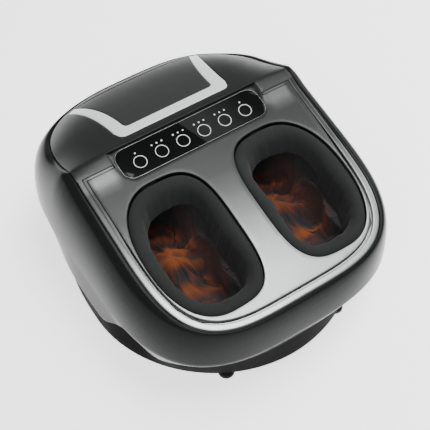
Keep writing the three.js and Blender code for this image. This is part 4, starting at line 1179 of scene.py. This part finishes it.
COLLAR_CLOTH = knitted("collar_fabric", (0.0105, 0.0112, 0.011))
LINING_CLOTH = knitted("lining_fabric_painted_glow", (0.024, 0.0235, 0.0255), painted_glow=True)
for side in (-1, 1):
    name = hand(side)
    ring = collar(side)
    dress(ring, COLLAR_CLOTH, nodes=[f"foot_sock_{name}"])
    piece, start, calm = lining(side, 5 + side)
    cut = area_of(piece) * (1 + SPARE) ** 2
    bed = lining(side, 5 + side)[0]
    bed_points = even_out(bed, 8, 0.5)
    centre = np.array([side * WELL_X, -45, 120])
    bed_points += facing(bed, bed_points - centre) * BED_GAP
    edge = start[:SOCK_TURN * HELD_ROWS]
    bed_points[:len(edge)] = edge + (edge - centre) * BED_EASE
    set_points(bed, bed_points)
    settle(piece, bed)
    moved = mesh_points(piece) - start
    length = np.linalg.norm(moved, axis=1, keepdims=True)
    set_points(piece, start + moved * np.minimum(1, MOVE_CAP / np.maximum(length, 0.001)))
    near = np.hypot(calm[:, 0] - calm[-1, 0], calm[:, 1] - calm[-1, 1])
    set_points(piece, lerp(mesh_points(piece), calm, np.exp(-((near / CALM_REACH) ** 4))[:, None]))
    bpy.data.objects.remove(bed)
    smooth = piece.modifiers.new("finer", "SUBSURF")
    smooth.levels = smooth.render_levels = 1
    apply_all(piece, 180)
    add_painted_glow(piece, side)
    thick = piece.modifiers.new("thick", "SOLIDIFY")
    thick.thickness, thick.offset = LINING_THICK, 0
    apply_all(piece, 180)
    dress(piece, LINING_CLOTH, nodes=[f"foot_sock_{name}"])
    flat = (FLAT_WIDTH, cut / FLAT_WIDTH / FLAT_FILL)
    print(f"sock {name}: {len(ring.data.polygons)} and {len(piece.data.polygons)} faces, cloth {cut:.4f} m2")

# %% [markdown]
# Three air bags press on each foot: one on each wall and one over the instep. Each is a pillow of two
# sheets welded at the rim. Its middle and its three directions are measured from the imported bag, and
# it is filled a little more than that, with short creases running in from the weld.

# %% Air bags
BAG_CLOTH = moulded("bag_fabric", (0.09, 0.095, 0.1), 0.5, 1400.0, 0.00008, 0.0, 0.06, 0.4)


def air_bag(name, rings=14, steps=72):
    node = frame["nodes"][name]
    points = np.array([v.co[:] for v in node.data.vertices])
    low, high = points.min(axis=0), points.max(axis=0)
    middle = (low + high) / 2
    axes = np.linalg.svd(points - points.mean(axis=0), full_matrices=False)[2]
    long, tall, thick = np.abs((points - middle) @ axes.T).max(axis=0)
    turn = angles(steps)
    layers = []
    for part in list(np.linspace(0.06, 0.94, rings)) + [0.985]:
        crease = 1 - 0.16 * smoothstep(np.array(part), 0.6, 0.95) * (0.5 + 0.5 * np.cos(18 * turn))
        swell = thick * (1 - part**2.6) ** 0.62 * crease
        layers.append((part, swell))
    weld = [(1.0, np.full(steps, 0.0004))]
    rows = layers + weld + [(part, -swell) for part, swell in weld + layers[::-1]]
    made = []
    for part, swell in rows:
        across = np.outer(np.cos(turn) * long * part, axes[0]) + np.outer(np.sin(turn) * tall * part, axes[1])
        made.append(middle + across + np.outer(swell, axes[2]))
    made = np.concatenate(made) / MM + (0, ORIGIN_Y, 0)
    return new_object(name + "_pillow", made, ring_faces(len(rows), steps) + cap_faces(len(rows), steps), 60)


for name in ("left", "right"):
    for place in ("outer", "inner", "instep"):
        node = f"air_bag_{place}_{name}"
        pillow = air_bag(node)
        dress(pillow, BAG_CLOTH, nodes=[node])
print("air bags: 6")

# %% [markdown]
# The pieces that stay as they were packed get the same finishes by their material slot.

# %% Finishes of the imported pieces
SLOT_FINISH = {"shell_gloss": SHELL_GLOSS, "base_black": BASE_BLACK, "hood_satin": HOOD_SATIN,
               "silver_trim": SILVER, "plate_metallic": PLATE_PAINT_AND_REFLECTION, "panel_gloss": PANEL_GLOSS,
               "rubber_black": RUBBER, "circuit_board": BOARD_GREEN, "white_nylon": NYLON, "steel": STEEL,
               "tub_black": TUB_BLACK, "head_orange": HEAD_ORANGE, "heater_red": HEATER_RED,
               "sock_fabric": COLLAR_CLOTH, "bag_fabric": BAG_CLOTH}
for row in frame["record"]["subparts"]:
    packed = frame["nodes"][row["node"]]
    packed.data.materials.clear()
    packed.data.materials.append(SLOT_FINISH[row["material_slot"]])

# %% [markdown]
# The floor is plain and pale, and the light is soft and even. The gloss shell shows its shape by what
# it reflects: the pale floor in its lower half and the grey of the room above it. Three large area
# lights give the hood its slow gradient and light the plate and the rim, whose slow gradient from the
# hood to the front is a painted reflection in their finish.

# %% Floor, light and finish
FLOOR = moulded("studio_floor", (0.9, 0.9, 0.9), 0.7, 40.0, 0.0, 0.0, 0.005)
glow = FLOOR.node_tree.nodes["Principled BSDF"].inputs
glow["Emission Color"].default_value, glow["Emission Strength"].default_value = colour(1, 1, 1), 1.6
FLOOR_HALF, FLOOR_Z = 4000, -0.2
corners = [(x * FLOOR_HALF, y * FLOOR_HALF, FLOOR_Z) for x, y in ((-1, -1), (1, -1), (1, 1), (-1, 1))]
floor = new_object("studio_floor", corners, [(0, 1, 2, 3)])
floor.data.materials.append(FLOOR)


world = bpy.data.worlds.new("studio_room")
world.use_nodes = True
back = world.node_tree.nodes["Background"].inputs
back["Color"].default_value, back["Strength"].default_value = colour(0.92, 0.96, 0.95), 0.35
bpy.context.scene.world = world


def soft_light(name, place, target, size, watts):
    data = bpy.data.lights.new(name, "AREA")
    data.shape = "RECTANGLE"
    data.size, data.size_y = size
    data.energy = watts
    lamp = bpy.data.objects.new(name, data)
    bpy.context.collection.objects.link(lamp)
    lamp.location = place
    lamp.rotation_euler = (Vector(target) - Vector(place)).to_track_quat("-Z", "Y").to_euler()
    return lamp


soft_light("key_light", (-1.1, -1.2, 2.0), (0, 0, 0.1), (1.2, 1.2), 30)
soft_light("top_light", (0.35, -0.25, 2.3), (0, -0.1, 0.1), (1.3, 0.9), 56)
soft_light("fill_light", (1.6, 0.4, 1.1), (0, 0, 0.1), (1.0, 1.2), 26)
